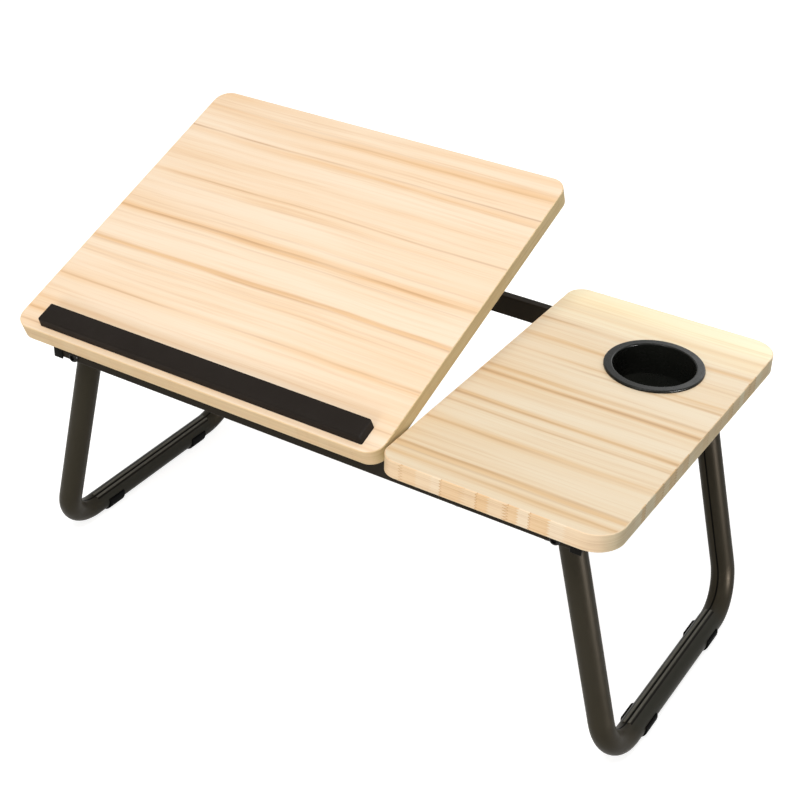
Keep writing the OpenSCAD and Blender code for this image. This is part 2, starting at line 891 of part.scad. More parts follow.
// Plugs in the tops of a leg's two posts, drilled for the pivot bolts
module leg_plugs(side) {
    plug_r = leg_r - leg_wall - fit_gap;
    on_leg(side)
        for (y = [-leg_half, leg_half])
            translate([0, y, 0])
                difference() {
                    union() {
                        translate([0, 0, -plug_len])
                            cylinder(h = plug_len + leg_top_h, r = plug_r);
                        translate([0, 0, leg_top_h])
                            cylinder(h = plug_flange_t, r1 = leg_r, r2 = leg_r - plug_flange_t);
                    }
                    rod_y(-leg_d, 2 * leg_d, bolt_r + clear);
                }
}

module left_leg_plugs() {
    color(black_plastic)
        leg_plugs(-1);
}

module right_leg_plugs() {
    color(black_plastic)
        leg_plugs(1);
}

// Clip round the underside of a bottom bar, cut flat where it stands on the floor
module foot_pad(side, end) {
    outer_r = leg_r + pad_wall;
    half = pad_wrap / 2;
    translate([side * bar_x, leg_mid_y + end * pad_gap / 2 - pad_len / 2, 0])
        difference() {
            translate([0, 0, bar_z])
                rotate([-90, 0, 0])
                    rotate([0, 0, 90 - half])
                        rotate_extrude(angle = pad_wrap)
                            translate([leg_r + fit_gap, 0])
                                square([pad_wall - fit_gap, pad_len]);
            translate([-outer_r, -cut, -outer_r])
                cube([2 * outer_r, pad_len + 2 * cut, outer_r]);
        }
}

module left_front_pad() {
    color(black_plastic)
        foot_pad(-1, -1);
}

module left_rear_pad() {
    color(black_plastic)
        foot_pad(-1, 1);
}

module right_front_pad() {
    color(black_plastic)
        foot_pad(1, -1);
}

module right_rear_pad() {
    color(black_plastic)
        foot_pad(1, 1);
}

// One leaf with the pin's axis at the origin, lying below the axis towards +Y.
// The knuckles are listed as [start, length], and the gaps between them leave room for the others.
module hinge_leaf(knuckles) {
    difference() {
        union() {
            difference() {
                translate([-hinge_len / 2, 0, -hinge_n])
                    cube([hinge_len, leaf_w, leaf_t]);
                rod_x(-hinge_len / 2 - cut, hinge_len + 2 * cut, knuckle_r + clear);
            }
            for (k = knuckles) {
                rod_x(k[0], k[1], knuckle_r);
                translate([k[0], 0, -hinge_n])
                    cube([k[1], knuckle_r + 2 * clear, leaf_t]);
            }
        }
        rod_x(-hinge_len / 2 - cut, hinge_len + 2 * cut, hinge_pin_r + run_gap);
        for (dx = leaf_screw_xs)
            translate([dx, leaf_screw_offset, -leaf_gap / 2])
                mirror([0, 0, 1])
                    flush_hole(small_screw_r, leaf_t, leaf_t + cut);
    }
}

module hinge_rail_leaves() {
    color(zinc)
        for (x = hinge_xs)
            translate([x, hinge_y, hinge_z])
                hinge_leaf([
                    [-hinge_len / 2, knuckle_len],
                    [hinge_len / 2 - knuckle_len, knuckle_len]
                ]);
}

module hinge_board_leaves() {
    color(zinc)
        on_tilt()
            for (x = hinge_xs)
                translate([x, hinge_s, hinge_n])
                    mirror([0, 0, 1])
                        hinge_leaf([[-knuckle_len / 2, knuckle_len]]);
}

module hinge_pins() {
    color(zinc)
        for (x = hinge_xs)
            translate([x, hinge_y, hinge_z])
                rod_x(-hinge_len / 2, hinge_len, hinge_pin_r);
}

module hinge_rail_screws() {
    color(zinc)
        for (x = hinge_xs, dx = leaf_screw_xs)
            translate([x + dx, hinge_y + leaf_screw_offset, board_z + leaf_t])
                mirror([0, 0, 1])
                    flush_screw(small_screw_r, leaf_t, leaf_t + 2 * rail_wall + screw_r);
}

module hinge_board_screws() {
    color(zinc)
        on_tilt()
            for (x = hinge_xs, dx = leaf_screw_xs)
                translate([x + dx, hinge_s + leaf_screw_offset, leaf_t + leaf_gap])
                    flush_screw(small_screw_r, leaf_t, leaf_t + screw_bite);
}

// Frame of the prop as drawn: its pivot at the origin, its arms towards +Y
module on_prop() {
    on_tilt()
        translate([tilt_mid_x, prop_pivot_s, -prop_drop])
            rotate([prop_angle - tilt_rest, 0, 0])
                children();
}

// Wire prop: a crossbar that stands on the racks, two arms, and two pivot ends that turn outwards
module prop() {
    arm_x = prop_w / 2;
    arm_len = prop_reach - 2 * prop_bend_r;
    foot_half = arm_x - prop_bend_r;
    color(zinc)
        on_prop() {
            translate([0, prop_reach, 0])
                rod_x(-foot_half, 2 * foot_half, prop_r);
            for (side = [0, 1])
                mirror([side, 0, 0]) {
                    translate([foot_half, prop_reach - prop_bend_r, 0])
                        rotate_extrude(angle = 90)
                            translate([prop_bend_r, 0])
                                circle(prop_r);
                    translate([arm_x, 0, 0])
                        rod_y(prop_bend_r, arm_len, prop_r);
                    translate([arm_x + prop_bend_r, prop_bend_r, 0])
                        rotate([0, 0, 180])
                            rotate_extrude(angle = 90)
                                translate([prop_bend_r, 0])
                                    circle(prop_r);
                    rod_x(arm_x + prop_bend_r, prop_end_len, prop_r);
                }
        }
}

// Clamps over the prop's pivot ends, screwed up into the tilting board
module prop_clamps() {
    bore_r = prop_r + run_gap;
    color(zinc)
        on_tilt()
            for (side = [-1, 1])
                translate([tilt_mid_x + side * clamp_mid_x, prop_pivot_s, 0])
                    difference() {
                        union() {
                            translate([-clamp_w / 2, -clamp_len / 2, -clamp_t])
                                cube([clamp_w, clamp_len, clamp_t]);
                            translate([0, 0, -prop_drop])
                                rod_x(-clamp_w / 2, clamp_w, bore_r + clamp_t);
                        }
                        translate([0, 0, -prop_drop])
                            rod_x(-clamp_w / 2 - cut, clamp_w + 2 * cut, bore_r);
                        for (y = [-clamp_screw_offset, clamp_screw_offset])
                            translate([0, y, -clamp_t - cut])
                                cylinder(h = clamp_t + 2 * cut, r = small_screw_r + fit_gap);
                    }
}

module prop_clamp_screws() {
    color(zinc)
        on_tilt()
            for (side = [-1, 1], y = [-clamp_screw_offset, clamp_screw_offset])
                translate([tilt_mid_x + side * clamp_mid_x, prop_pivot_s + y, -clamp_t])
                    pan_screw(small_screw_r, clamp_t + screw_bite);
}

tilt_board();
tilt_edge_band();
stop_bar();
stop_bar_screws();
side_board();
side_edge_band();
cup_holder();
front_rail();
rear_rail();
left_end_rail();
right_end_rail();
rail_end_caps();
left_strap();
right_strap();
left_rack();
right_rack();
rack_rivets();
rubber_bumpers();
board_screws();
leg_bolts();
leg_spacers();
leg_washers();
leg_nuts();
left_leg();
right_leg();
left_leg_plugs();
right_leg_plugs();
left_front_pad();
left_rear_pad();
right_front_pad();
right_rear_pad();
hinge_rail_leaves();
hinge_board_leaves();
hinge_pins();
hinge_rail_screws();
hinge_board_screws();
prop();
prop_clamps();
prop_clamp_screws();
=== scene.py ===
"""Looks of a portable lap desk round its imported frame, laid out as an add-on and run as a script.

Lengths are metres, but millimetres in the tables of the wood print. Board coordinates run x
along a board's width, y from its front edge to the rear, and z up from its underside.
"""

import json
import math

import bmesh
import bpy
from bpy.props import FloatProperty, FloatVectorProperty, IntProperty, PointerProperty
from mathutils import Matrix, Vector


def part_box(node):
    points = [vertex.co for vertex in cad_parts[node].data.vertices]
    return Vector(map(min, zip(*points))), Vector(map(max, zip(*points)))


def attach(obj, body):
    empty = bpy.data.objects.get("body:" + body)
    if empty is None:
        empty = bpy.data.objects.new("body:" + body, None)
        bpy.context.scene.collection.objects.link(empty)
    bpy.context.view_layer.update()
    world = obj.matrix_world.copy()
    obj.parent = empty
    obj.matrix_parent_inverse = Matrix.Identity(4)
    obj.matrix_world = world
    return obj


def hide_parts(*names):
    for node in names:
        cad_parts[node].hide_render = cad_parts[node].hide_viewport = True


bl_info = {
    "name": "Portable Lap Desk",
    "version": (1, 0, 0),
    "blender": (4, 5, 0),
    "location": "3D View > Sidebar > Lap Desk",
    "description": "Finishes and dressed pieces of a tilting lap desk, with its studio stage",
    "category": "Object",
}

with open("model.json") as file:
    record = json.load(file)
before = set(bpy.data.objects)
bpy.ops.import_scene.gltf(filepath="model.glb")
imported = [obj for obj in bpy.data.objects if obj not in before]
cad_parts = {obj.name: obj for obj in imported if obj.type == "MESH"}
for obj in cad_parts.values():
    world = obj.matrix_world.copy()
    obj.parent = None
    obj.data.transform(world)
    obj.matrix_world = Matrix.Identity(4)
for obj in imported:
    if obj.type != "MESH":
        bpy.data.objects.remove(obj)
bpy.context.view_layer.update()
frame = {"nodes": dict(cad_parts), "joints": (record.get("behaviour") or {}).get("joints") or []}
MM = 0.001

# How far the tilting board is drawn open, and its hinge's place in the frame and on the board
TILT = math.radians(21.0)
HINGE = Vector(next(j for j in frame["joints"] if j["name"] == "tilt")["pos_m"])
HINGE_ON_BOARD = Vector((0.0, 9.7 * MM, 1.3 * MM))
TILT_FRAME = (
    Matrix.Translation((0.0, HINGE.y, HINGE.z))
    @ Matrix.Rotation(TILT, 4, "X")
    @ Matrix.Translation(-HINGE_ON_BOARD)
)
SIDE_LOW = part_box("side_edge_band")[0]
SIDE_FRAME = Matrix.Translation((0.0, SIDE_LOW.y, SIDE_LOW.z))

# The camera: focal length in sensor widths, place, and turns about the upright, sideways and view axes
FOCAL = 1590.78 / 800.0
SENSOR = 36.0
CAMERA_PLACE = (0.64013, -1.04543, 0.95756)
CAMERA_YAW = 0.544244
CAMERA_PITCH = 0.556959
CAMERA_ROLL = 0.029465

# Depth of the print in mm, and its streaks: (place from the front edge in mm, width in mm, strength)
GRAIN_DEPTH = 350.0
TILT_BANDS = (
    (7, 14, 0.5), (23, 16, 0.6), (36, 14, 0.4), (69, 15, 0.75), (104, 13, 0.3), (121, 11, 0.9),
    (166, 18, 0.9), (181, 12, 0.25), (210, 15, 0.3), (219, 10, 0.55), (247, 12, 0.2),
    (277, 15, 0.65), (309, 18, 0.8), (330, 14, 0.5),
)  # fmt: skip
TILT_LINES = (
    (8, 2.4, 0.7), (23.5, 2.6, 0.65), (61, 2, 0.2), (70, 3, 0.8), (85, 2, 0.15), (102.5, 2.2, 0.2),
    (107.5, 2.2, 0.3), (118.5, 3, 0.85), (122.5, 2.4, 0.7), (156, 2, 0.35), (165, 3.4, 1.0),
    (178, 2.2, 0.4), (206, 2.2, 0.25), (218.5, 2.6, 0.7), (248, 2, 0.2),
    (274, 2.2, 0.35), (281.5, 3, 1.0), (308, 2.4, 0.5), (314, 2.4, 0.4),
)  # fmt: skip
SIDE_BANDS = (
    (15, 13, 0.7), (28.5, 13, 0.8), (62, 20, 0.2), (75, 18, 0.85), (108, 11, 0.5), (122, 14, 0.85),
    (152, 22, 0.3), (165, 14, 1.0), (176, 12, 0.75), (208, 9, 0.45), (216, 10, 0.65),
    (243, 12, 0.5), (274, 14, 0.8), (304, 20, 0.45),
)  # fmt: skip
SIDE_LINES = (
    (15, 4.5, 0.45), (23, 3.5, 0.4), (30.5, 5.5, 0.65), (74.5, 5, 0.7), (107, 4, 0.45), (121, 5.5, 0.85),
    (165, 6, 0.9), (177, 5, 0.5), (207.5, 4, 0.45), (216, 3, 0.35), (243, 4, 0.4), (269, 3, 0.25),
    (275.5, 4.5, 0.75), (304, 4, 0.2),
)  # fmt: skip
# Paler wood: (place, strength). The tilting board has none; along the side board's rear edge the print is
# paler, and the brighter light there is painted in as well
TILT_PALE_AND_LIT = ((0, 0.0), (350, 0.0))
SIDE_PALE_AND_LIT = ((276, 0.0), (288, 0.35), (305, 0.45), (325, 1.0), (350, 1.0))
# How far apart along the print the two boards are cut
PRINT_SHIFT = 0.43
# How far the fingers reach for their height, and how much the blocks' lengths differ
FINGER_SLOPE = 2.4
BLOCK_SPREAD = 30.0 * MM
# Half of a leg's rolled seam, with painted shade in the seam and beside the lips and a painted highlight
# on the lips: (share of the way out, strength)
SEAM_REACH = 8.0 * MM
SEAM_LINE_SHADE = ((0.0, 1.0), (0.07, 1.0), (0.13, 0.0))
SEAM_LIP_HIGHLIGHT = ((0.12, 0.0), (0.18, 1.0), (0.38, 1.0), (0.46, 0.0))
SEAM_GROOVE_SHADE = (
    (0.0, 1.0), (0.07, 1.0), (0.12, 0.0), (0.44, 0.0), (0.5, 1.0), (0.6, 1.0), (0.66, 0.0),
)  # fmt: skip
# How deep the grain of a finish goes, and that of a plating
GRAIN_RELIEF = 0.2 * MM
PLATING_RELIEF = 0.1 * MM

# Soft round lights: place, target, diameter, and the kind of ray that doesn't see the light
LIGHTS = {
    "key": ((0.2, -1.15, 2.45), (0.0, 0.0, 0.22), 1.3, None),
    "front": ((0.1, -1.9, 0.5), (0.0, 0.0, 0.2), 0.8, None),
    "rear": ((0.3, 0.8, 0.75), (0.1, 0.0, 0.25), 0.8, "camera"),
    "rim": ((1.6, -0.2, 0.15), (0.3, -0.05, 0.12), 0.5, "diffuse"),
}
# Half the floor's side, and how far below the foot pads it lies
FLOOR_HALF = 8.0
FLOOR_BELOW = 0.2 * MM

WHITE = (1.0, 1.0, 1.0, 1.0)
BLACK = (0.0, 0.0, 0.0, 1.0)
WORN_COAT = (0.34, 0.3, 0.26, 1.0)
STAINED_METAL = (0.3, 0.28, 0.25, 1.0)

# Faces of a built piece that meet at less than this look smooth
SMOOTH_ANGLE = math.radians(35.0)


def linear(code):
    """Linear colour of a screen colour such as ffcc00."""
    parts = [int(code[i : i + 2], 16) / 255 for i in (0, 2, 4)]
    return tuple(c / 12.92 if c <= 0.04045 else ((c + 0.055) / 1.055) ** 2.4 for c in parts)


def colour(name, description, code):
    """Setting that holds a colour."""
    return FloatVectorProperty(
        name=name,
        description=description,
        default=linear(code),
        size=3,
        subtype="COLOR",
        min=0.0,
        max=1.0,
    )


def share(name, description, default):
    """Setting from 0 to 1."""
    return FloatProperty(
        name=name, description=description, default=default, min=0.0, max=1.0, subtype="FACTOR"
    )


def length(name, description, default):
    """Setting that holds a length."""
    return FloatProperty(
        name=name, description=description, default=default, min=0.0, unit="LENGTH", subtype="DISTANCE"
    )


def power(name, description, default):
    """Setting that holds a lamp's power in watts."""
    return FloatProperty(name=name, description=description, default=default, min=0.0, unit="POWER")


def box_on(node, matrix):
    """Lowest and highest corners of a CAD node, in the coordinates that the matrix places."""
    inverse = matrix.inverted()
    points = [inverse @ v.co for v in frame["nodes"][node].data.vertices]
    return tuple(Vector(pick(p[i] for p in points) for i in range(3)) for pick in (min, max))


STOP_BOX = box_on("stop_bar", TILT_FRAME)
BOLT_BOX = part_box("leg_bolts")
NUT_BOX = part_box("leg_nuts")
CAP_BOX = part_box("rail_end_caps")
LEG_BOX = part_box("right_leg")
# The open right leg's own frame: its pivot at the origin and its plane upright
SPLAY = math.radians(14.0)
PIVOT = Vector(next(j for j in frame["joints"] if j["name"] == "right_leg_fold")["pos_m"])
LEG_FRAME = Matrix.Translation(PIVOT) @ Matrix.Rotation(-SPLAY, 4, "Y")


class DeskWood(bpy.types.PropertyGroup):
    # painted light and shade: both boards are one laminate; the tilting board's ground is painted lighter
    # and the side board's darker, for the light each catches
    tilt_base: colour("Tilting board", "Ground colour of the tilting board", "f4dec3")
    side_base: colour("Side board", "Ground colour of the side board", "e6d5b9")
    # painted light: the side board's rear edge is partly paler print and partly painted brighter light
    pale_and_lit: colour("Pale wood", "Colour of the side board's palest part", "f9edcb")
    band: colour("Soft bands", "Tint of the print's soft warm bands", "f5e2c8")
    line: colour("Dark lines", "Tint of the print's dark lines", "bb9a80")
    tilt_contrast: share("Tilting board contrast", "Strength of its print", 1.0)
    side_contrast: share("Side board contrast", "Strength of its print", 1.0)
    roughness: share("Roughness", "Roughness of the laminate", 0.46)
    wander: length("Wander", "How far the streaks wander from a straight line", 9.0 * MM)


class DeskEdge(bpy.types.PropertyGroup):
    tilt_base: colour("Tilting board", "Ground colour of its edge band", "f0d3a9")
    side_base: colour("Side board", "Ground colour of its edge band", "f4dfc2")
    layer: colour("Layers", "Colour of the thin lines along the edge", "d0ab7e")
    block: colour("Blocks", "Tint of the finger-jointed blocks", "f6e2c6")
    # painted shade: a darker, more olive tint for the boards' sideways ends, which catch less light
    shaded_ends: colour("Board ends", "Tint of the edge band on the boards' ends", "ecf4ec")
    side_blocks: share("Side board blocks", "How much its finger-jointed blocks show", 0.9)
    tilt_blocks: share("Tilting board blocks", "How much its finger-jointed blocks show", 0.15)
    spacing: length("Block length", "Length of a finger-jointed block", 13.0 * MM)
    finger: length("Finger", "Height of a finger of a joint between blocks", 2.6 * MM)


class DeskSteel(bpy.types.PropertyGroup):
    leg: colour("Leg tube", "Powder coat of the leg tubes", "37332a")
    # painted shade: the bottom bars' darker tone stands in for how they are lit
    bar: colour("Bottom bars", "Darker coat of the bottom bars", "33332e")
    # painted highlight: the rolled lips' paler colour stands in for the light they catch
    ridge: colour("Seam ridges", "Coat on the rolled lips of the bottom bars", "64625a")
    # painted shade: the dark colour in the seam and beside the lips stands in for shade
    groove_shade: colour("Seam grooves", "Coat in the seam and beside the lips", "0c0b09")
    rail: colour("Frame", "Powder coat of the frame", "2d2923")
    tint: colour("Sheen tint", "Tint of the coat's sheen", "ffe8cb")
    leg_roughness: share("Leg roughness", "Roughness of the leg tubes", 0.4)
    tube_radius: length("Tube radius", "Outer radius of the leg tubes", 11.0 * MM)
    bend_radius: length("Bend radius", "Radius of the middle line in the legs' bends", 40.0 * MM)
    rail_roughness: share("Frame roughness", "Roughness of the frame", 0.52)


class DeskPlastic(bpy.types.PropertyGroup):
    stop: colour("Stop bar", "Colour of the stop bar", "211c18")
    cup: colour("Cup well", "Colour of the cup well", "151613")
    moulded: colour("Moulded pieces", "Colour of plugs, spacers and caps", "100f0c")
    rubber: colour("Rubber", "Colour of the foot pads and bumpers", "040404")
    stop_length: length("Stop bar length", "Length at its foot", STOP_BOX[1].x - STOP_BOX[0].x)
    stop_rounding: length("Stop bar rounding", "Rounding of its upper edges", 1.5 * MM)
    end_slope: length("End slope", "How much shorter each end is at the top", 1.0 * MM)
    pad_wall: length("Pad wall", "Thickness of a foot pad's wall", 1.8 * MM)
    pad_rounding: length("Pad rounding", "Rounding of a foot pad's ends", 1.2 * MM)
    cap_rounding: length("Cap rounding", "Rounding of the rail end caps", 0.7 * MM)


class DeskHardware(bpy.types.PropertyGroup):
    zinc: colour("Zinc", "Colour of the zinc plating", "b4b6b8")
    nickel: colour("Nickel", "Colour of the hinges' plating", "a6a39d")
    black_oxide: colour("Black oxide", "Colour of the pivot bolts", "1a1816")
    shank_radius: length("Shank radius", "Radius of the pivot bolts' shanks", 3.0 * MM)
    head_height: length("Head height", "Height of the pivot bolts' heads", 3.0 * MM)
    nut_height: length("Nut height", "Height of the lock nuts", 6.0 * MM)
    thread_pitch: length("Thread pitch", "Pitch of the pivot bolts' thread", 1.0 * MM)
    thread_length: length("Thread length", "Length of the pivot bolts' thread", 11.0 * MM)
    segments: IntProperty(
        name="Segments", description="Sides of the turned pieces", default=48, min=12, max=128
    )


class DeskStage(bpy.types.PropertyGroup):
    floor: colour("Floor", "Colour of the floor", "bcbbb8")
    floor_glow: FloatProperty(
        name="Floor glow", description="What the camera sees on top of the floor", default=0.82, min=0.0
    )
    sky: share("Sky", "Strength of the light from all round", 0.36)
    key_power: power("Key light", "Power of the light above", 40.0)
    front_power: power("Front light", "Power of the low light in front", 10.0)
    rear_power: power("Rear light", "Power of the light behind the side board", 3.0)
    rim_power: power("Rim light", "Power of the light that the tubes mirror", 150.0)


# Node building


def add(tree, kind, sockets=None, **settings):
    """Adds a node, with its settings and with constants or links for its sockets."""
    made = tree.nodes.new(kind)
    for name, value in settings.items():
        setattr(made, name, value)
    for key, value in (sockets or {}).items():
        if isinstance(value, bpy.types.NodeSocket):
            tree.links.new(value, made.inputs[key])
        else:
            made.inputs[key].default_value = value
    return made


def calc(tree, operation, a, b=0.0, c=0.0, clamp=False):
    """Result of one math node."""
    made = add(tree, "ShaderNodeMath", {0: a, 1: b, 2: c}, operation=operation, use_clamp=clamp)
    return made.outputs[0]


def scaled(tree, vector, x, y, z):
    """Vector with its parts multiplied."""
    sockets = {0: vector, 1: (x, y, z)}
    return add(tree, "ShaderNodeVectorMath", sockets, operation="MULTIPLY").outputs[0]


def noise(tree, vector, detail=2.0, roughness=0.5, distortion=0.0):
    """Noise of scale 1 at the vector, about 0.5 on average."""
    sockets = {
        "Vector": vector, "Scale": 1.0, "Detail": detail, "Roughness": roughness,
        "Distortion": distortion,
    }  # fmt: skip
    return add(tree, "ShaderNodeTexNoise", sockets).outputs["Fac"]


def span(tree, value, low, high, to_low=0.0, to_high=1.0):
    """Value mapped from one range to another, held at the ends."""
    sockets = {"Value": value, 1: low, 2: high, 3: to_low, 4: to_high}
    return add(tree, "ShaderNodeMapRange", sockets, clamp=True).outputs[0]


def mix(tree, factor, a, b, blend="MIX"):
    """Colour between a and b."""
    made = add(tree, "ShaderNodeMix", {0: factor, 6: a, 7: b}, data_type="RGBA", blend_type=blend)
    return made.outputs[2]


def opaque(value):
    """Colour with its fourth part."""
    return (*value, 1.0)


def ramp(tree, factor, stops, interpolation="LINEAR"):
    """Curve through (place from 0 to 1, value), as a colour ramp."""
    made = add(tree, "ShaderNodeValToRGB", {0: factor})
    made.color_ramp.interpolation = interpolation
    points = made.color_ramp.elements
    while len(points) < len(stops):
        points.new(0.5)
    for point, (place, value) in zip(points, stops):
        point.position = place
        point.color = (value, value, value, 1.0)
    return made.outputs[0]


def streaks(tree, at, table):
    """Sum of the streaks of a table. Neighbours, whose widths may overlap, go to different ramps."""
    total = 0.0
    for first in (0, 1):
        stops = [(0.0, 0.0)]
        for place, width, strength in table[first::2]:
            stops += [
                (max(0.0, place - width / 2) / GRAIN_DEPTH, 0.0),
                (place / GRAIN_DEPTH, strength),
                (min(GRAIN_DEPTH, place + width / 2) / GRAIN_DEPTH, 0.0),
            ]
        total = calc(tree, "ADD", ramp(tree, at, stops, "EASE"), total)
    return total


def built_once(build):
    """Makes a function that builds a named node group use the one that is there already."""

    def found_or_built(name, *details):
        return bpy.data.node_groups.get(name) or build(name, *details)

    return found_or_built


def new_group(name, inputs, outputs):
    """Shader node group, returned with its input node.

    An input's default tells its kind: None is a vector, a tuple a colour. Outputs are numbers but Color.
    """
    tree = bpy.data.node_groups.new(name, "ShaderNodeTree")
    for label, default in inputs.items():
        kind = "Vector" if default is None else "Color" if isinstance(default, tuple) else "Float"
        socket = tree.interface.new_socket(label, in_out="INPUT", socket_type="NodeSocket" + kind)
        if default is not None:
            socket.default_value = default
    for label in outputs:
        kind = "Color" if label == "Color" else "Float"
        tree.interface.new_socket(label, in_out="OUTPUT", socket_type="NodeSocket" + kind)
    return tree, tree.nodes.new("NodeGroupInput")


def close_group(tree, results):
    """Links a group's results to its output node."""
    end = tree.nodes.new("NodeGroupOutput")
    for label, socket in results.items():
        tree.links.new(socket, end.inputs[label])
    return tree


@built_once
def pine_print_group(name, bands, lines, pale_and_lit):
    """Printed pine: soft warm bands and thin dark lines that run along the board, and a paler zone that
    is partly print and partly painted light.
    """
    inputs = {
        "Place": None, "Wander": 0.01, "Contrast": 0.8,
        "Ground": WHITE, "Pale": WHITE, "Band": WHITE, "Line": WHITE,
    }  # fmt: skip
    tree, start = new_group(name, inputs, ("Color", "Streaks", "Height"))
    place = start.outputs["Place"]
    parts = add(tree, "ShaderNodeSeparateXYZ", {0: place})
    slow = noise(tree, scaled(tree, place, 3.1, 4.0, 2.0), 1.0)
    quick = noise(tree, scaled(tree, place, 12.0, 22.0, 5.0), 2.0)
    wave = calc(tree, "MULTIPLY_ADD", quick, 0.3, slow)
    wave = calc(tree, "SUBTRACT", wave, 0.65)
    depth = calc(tree, "MULTIPLY_ADD", wave, start.outputs["Wander"], parts.outputs["Y"])
    # everything in the print follows the same wandering depth
    parts = {"X": parts.outputs["X"], "Y": depth, "Z": parts.outputs["Z"]}
    place = add(tree, "ShaderNodeCombineXYZ", parts).outputs[0]
    at = calc(tree, "MULTIPLY", depth, 1.0 / (GRAIN_DEPTH * MM), clamp=True)
    soft = streaks(tree, at, bands)
    thin = streaks(tree, at, lines)
    # paler print with painted light towards the side board's rear edge
    clear = ramp(tree, at, [(spot / GRAIN_DEPTH, value) for spot, value in pale_and_lit], "EASE")
    # bands and lines come and go along the board
    fade = span(tree, noise(tree, scaled(tree, place, 5.0, 24.0, 3.0), 2.0), 0.38, 0.6, 0.45, 1.0)
    fade_lines = span(tree, noise(tree, scaled(tree, place, 8.0, 60.0, 9.0), 2.0), 0.36, 0.6, 0.2, 1.0)
    # many faint streaks between them
    fine = noise(tree, scaled(tree, place, 5.0, 260.0, 20.0), 3.0, 0.6)
    hair = noise(tree, scaled(tree, place, 12.0, 800.0, 60.0), 2.0, 0.6)
    cloud = noise(tree, scaled(tree, place, 2.4, 16.0, 4.0), 2.0)
    soft = calc(tree, "MULTIPLY", soft, fade)
    soft = calc(tree, "ADD", soft, span(tree, cloud, 0.42, 0.72, 0.0, 0.42))
    soft = calc(tree, "ADD", soft, span(tree, fine, 0.42, 0.72, 0.0, 0.42))
    soft = calc(tree, "MULTIPLY", soft, start.outputs["Contrast"], clamp=True)
    thin = calc(tree, "MULTIPLY", thin, fade_lines)
    thin = calc(tree, "ADD", thin, span(tree, fine, 0.56, 0.8, 0.0, 0.25))
    thin = calc(tree, "ADD", thin, span(tree, hair, 0.52, 0.8, 0.0, 0.16))
    strength = calc(tree, "MULTIPLY", start.outputs["Contrast"], 0.6)
    thin = calc(tree, "MULTIPLY", thin, strength, clamp=True)
    ground = mix(tree, clear, start.outputs["Ground"], start.outputs["Pale"])
    ground = mix(tree, soft, ground, start.outputs["Band"], "MULTIPLY")
    result = mix(tree, thin, ground, start.outputs["Line"], "MULTIPLY")
    height = calc(tree, "MULTIPLY", hair, 0.4)
    height = calc(tree, "MULTIPLY_ADD", thin, -0.6, height)
    return close_group(tree, {"Color": result, "Streaks": thin, "Height": height})


@built_once
def edge_layers_group(name):
    """Edge of finger-jointed strips: thin lines along the edge, and blocks with zigzag ends."""
    inputs = {
        "Place": None, "Facing": None, "Spacing": 0.013, "Finger": 0.0026, "Blocks": 0.5,
        "Ground": WHITE, "Layer": WHITE, "Block": WHITE, "Ends": WHITE,
    }  # fmt: skip
    tree, start = new_group(name, inputs, ("Color", "Height"))
    place = start.outputs["Place"]
    parts = add(tree, "ShaderNodeSeparateXYZ", {0: place})
    along = calc(tree, "SUBTRACT", parts.outputs["X"], parts.outputs["Y"])
    layers = noise(tree, scaled(tree, place, 9.0, 9.0, 1100.0), 3.0, 0.6, 0.2)
    broad = noise(tree, scaled(tree, place, 12.0, 12.0, 260.0), 2.0)
    # a saw edge of fingers between blocks of uneven length
    half = calc(tree, "MULTIPLY", start.outputs["Finger"], 0.5)
    teeth = calc(tree, "PINGPONG", parts.outputs["Z"], half)
    uneven = noise(tree, scaled(tree, place, 37.0, 37.0, 0.0), 1.0)
    step = calc(tree, "MULTIPLY_ADD", teeth, FINGER_SLOPE, along)
    step = calc(tree, "MULTIPLY_ADD", uneven, BLOCK_SPREAD, step)
    step = calc(tree, "DIVIDE", step, start.outputs["Spacing"])
    cell = calc(tree, "FLOOR", step)
    tone = add(tree, "ShaderNodeTexWhiteNoise", {"W": cell}, noise_dimensions="1D").outputs["Value"]
    # thin brown joint lines where some blocks meet
    near = calc(tree, "FRACT", step)
    joint = calc(tree, "MULTIPLY", span(tree, near, 0.0, 0.11, 1.0, 0.0), span(tree, tone, 0.35, 0.8))
    joint = calc(tree, "MULTIPLY", joint, start.outputs["Blocks"])
    tint = calc(tree, "MULTIPLY", tone, start.outputs["Blocks"])
    layer = start.outputs["Layer"]
    lined = mix(tree, span(tree, layers, 0.5, 0.75, 0.0, 0.5), start.outputs["Ground"], layer)
    lined = mix(tree, span(tree, broad, 0.42, 0.7, 0.0, 0.25), lined, layer)
    blocks = mix(tree, tint, lined, start.outputs["Block"], "MULTIPLY")
    result = mix(tree, joint, blocks, layer, "MULTIPLY")
    # painted shade: the band on the boards' ends, which face sideways, is tinted darker and more olive,
    # as less light falls on it
    facing = add(tree, "ShaderNodeSeparateXYZ", {0: start.outputs["Facing"]})
    ends_shade_mask = span(tree, calc(tree, "ABSOLUTE", facing.outputs["X"]), 0.5, 0.95)
    result = mix(tree, ends_shade_mask, result, start.outputs["Ends"], "MULTIPLY")
    return close_group(tree, {"Color": result, "Height": layers})


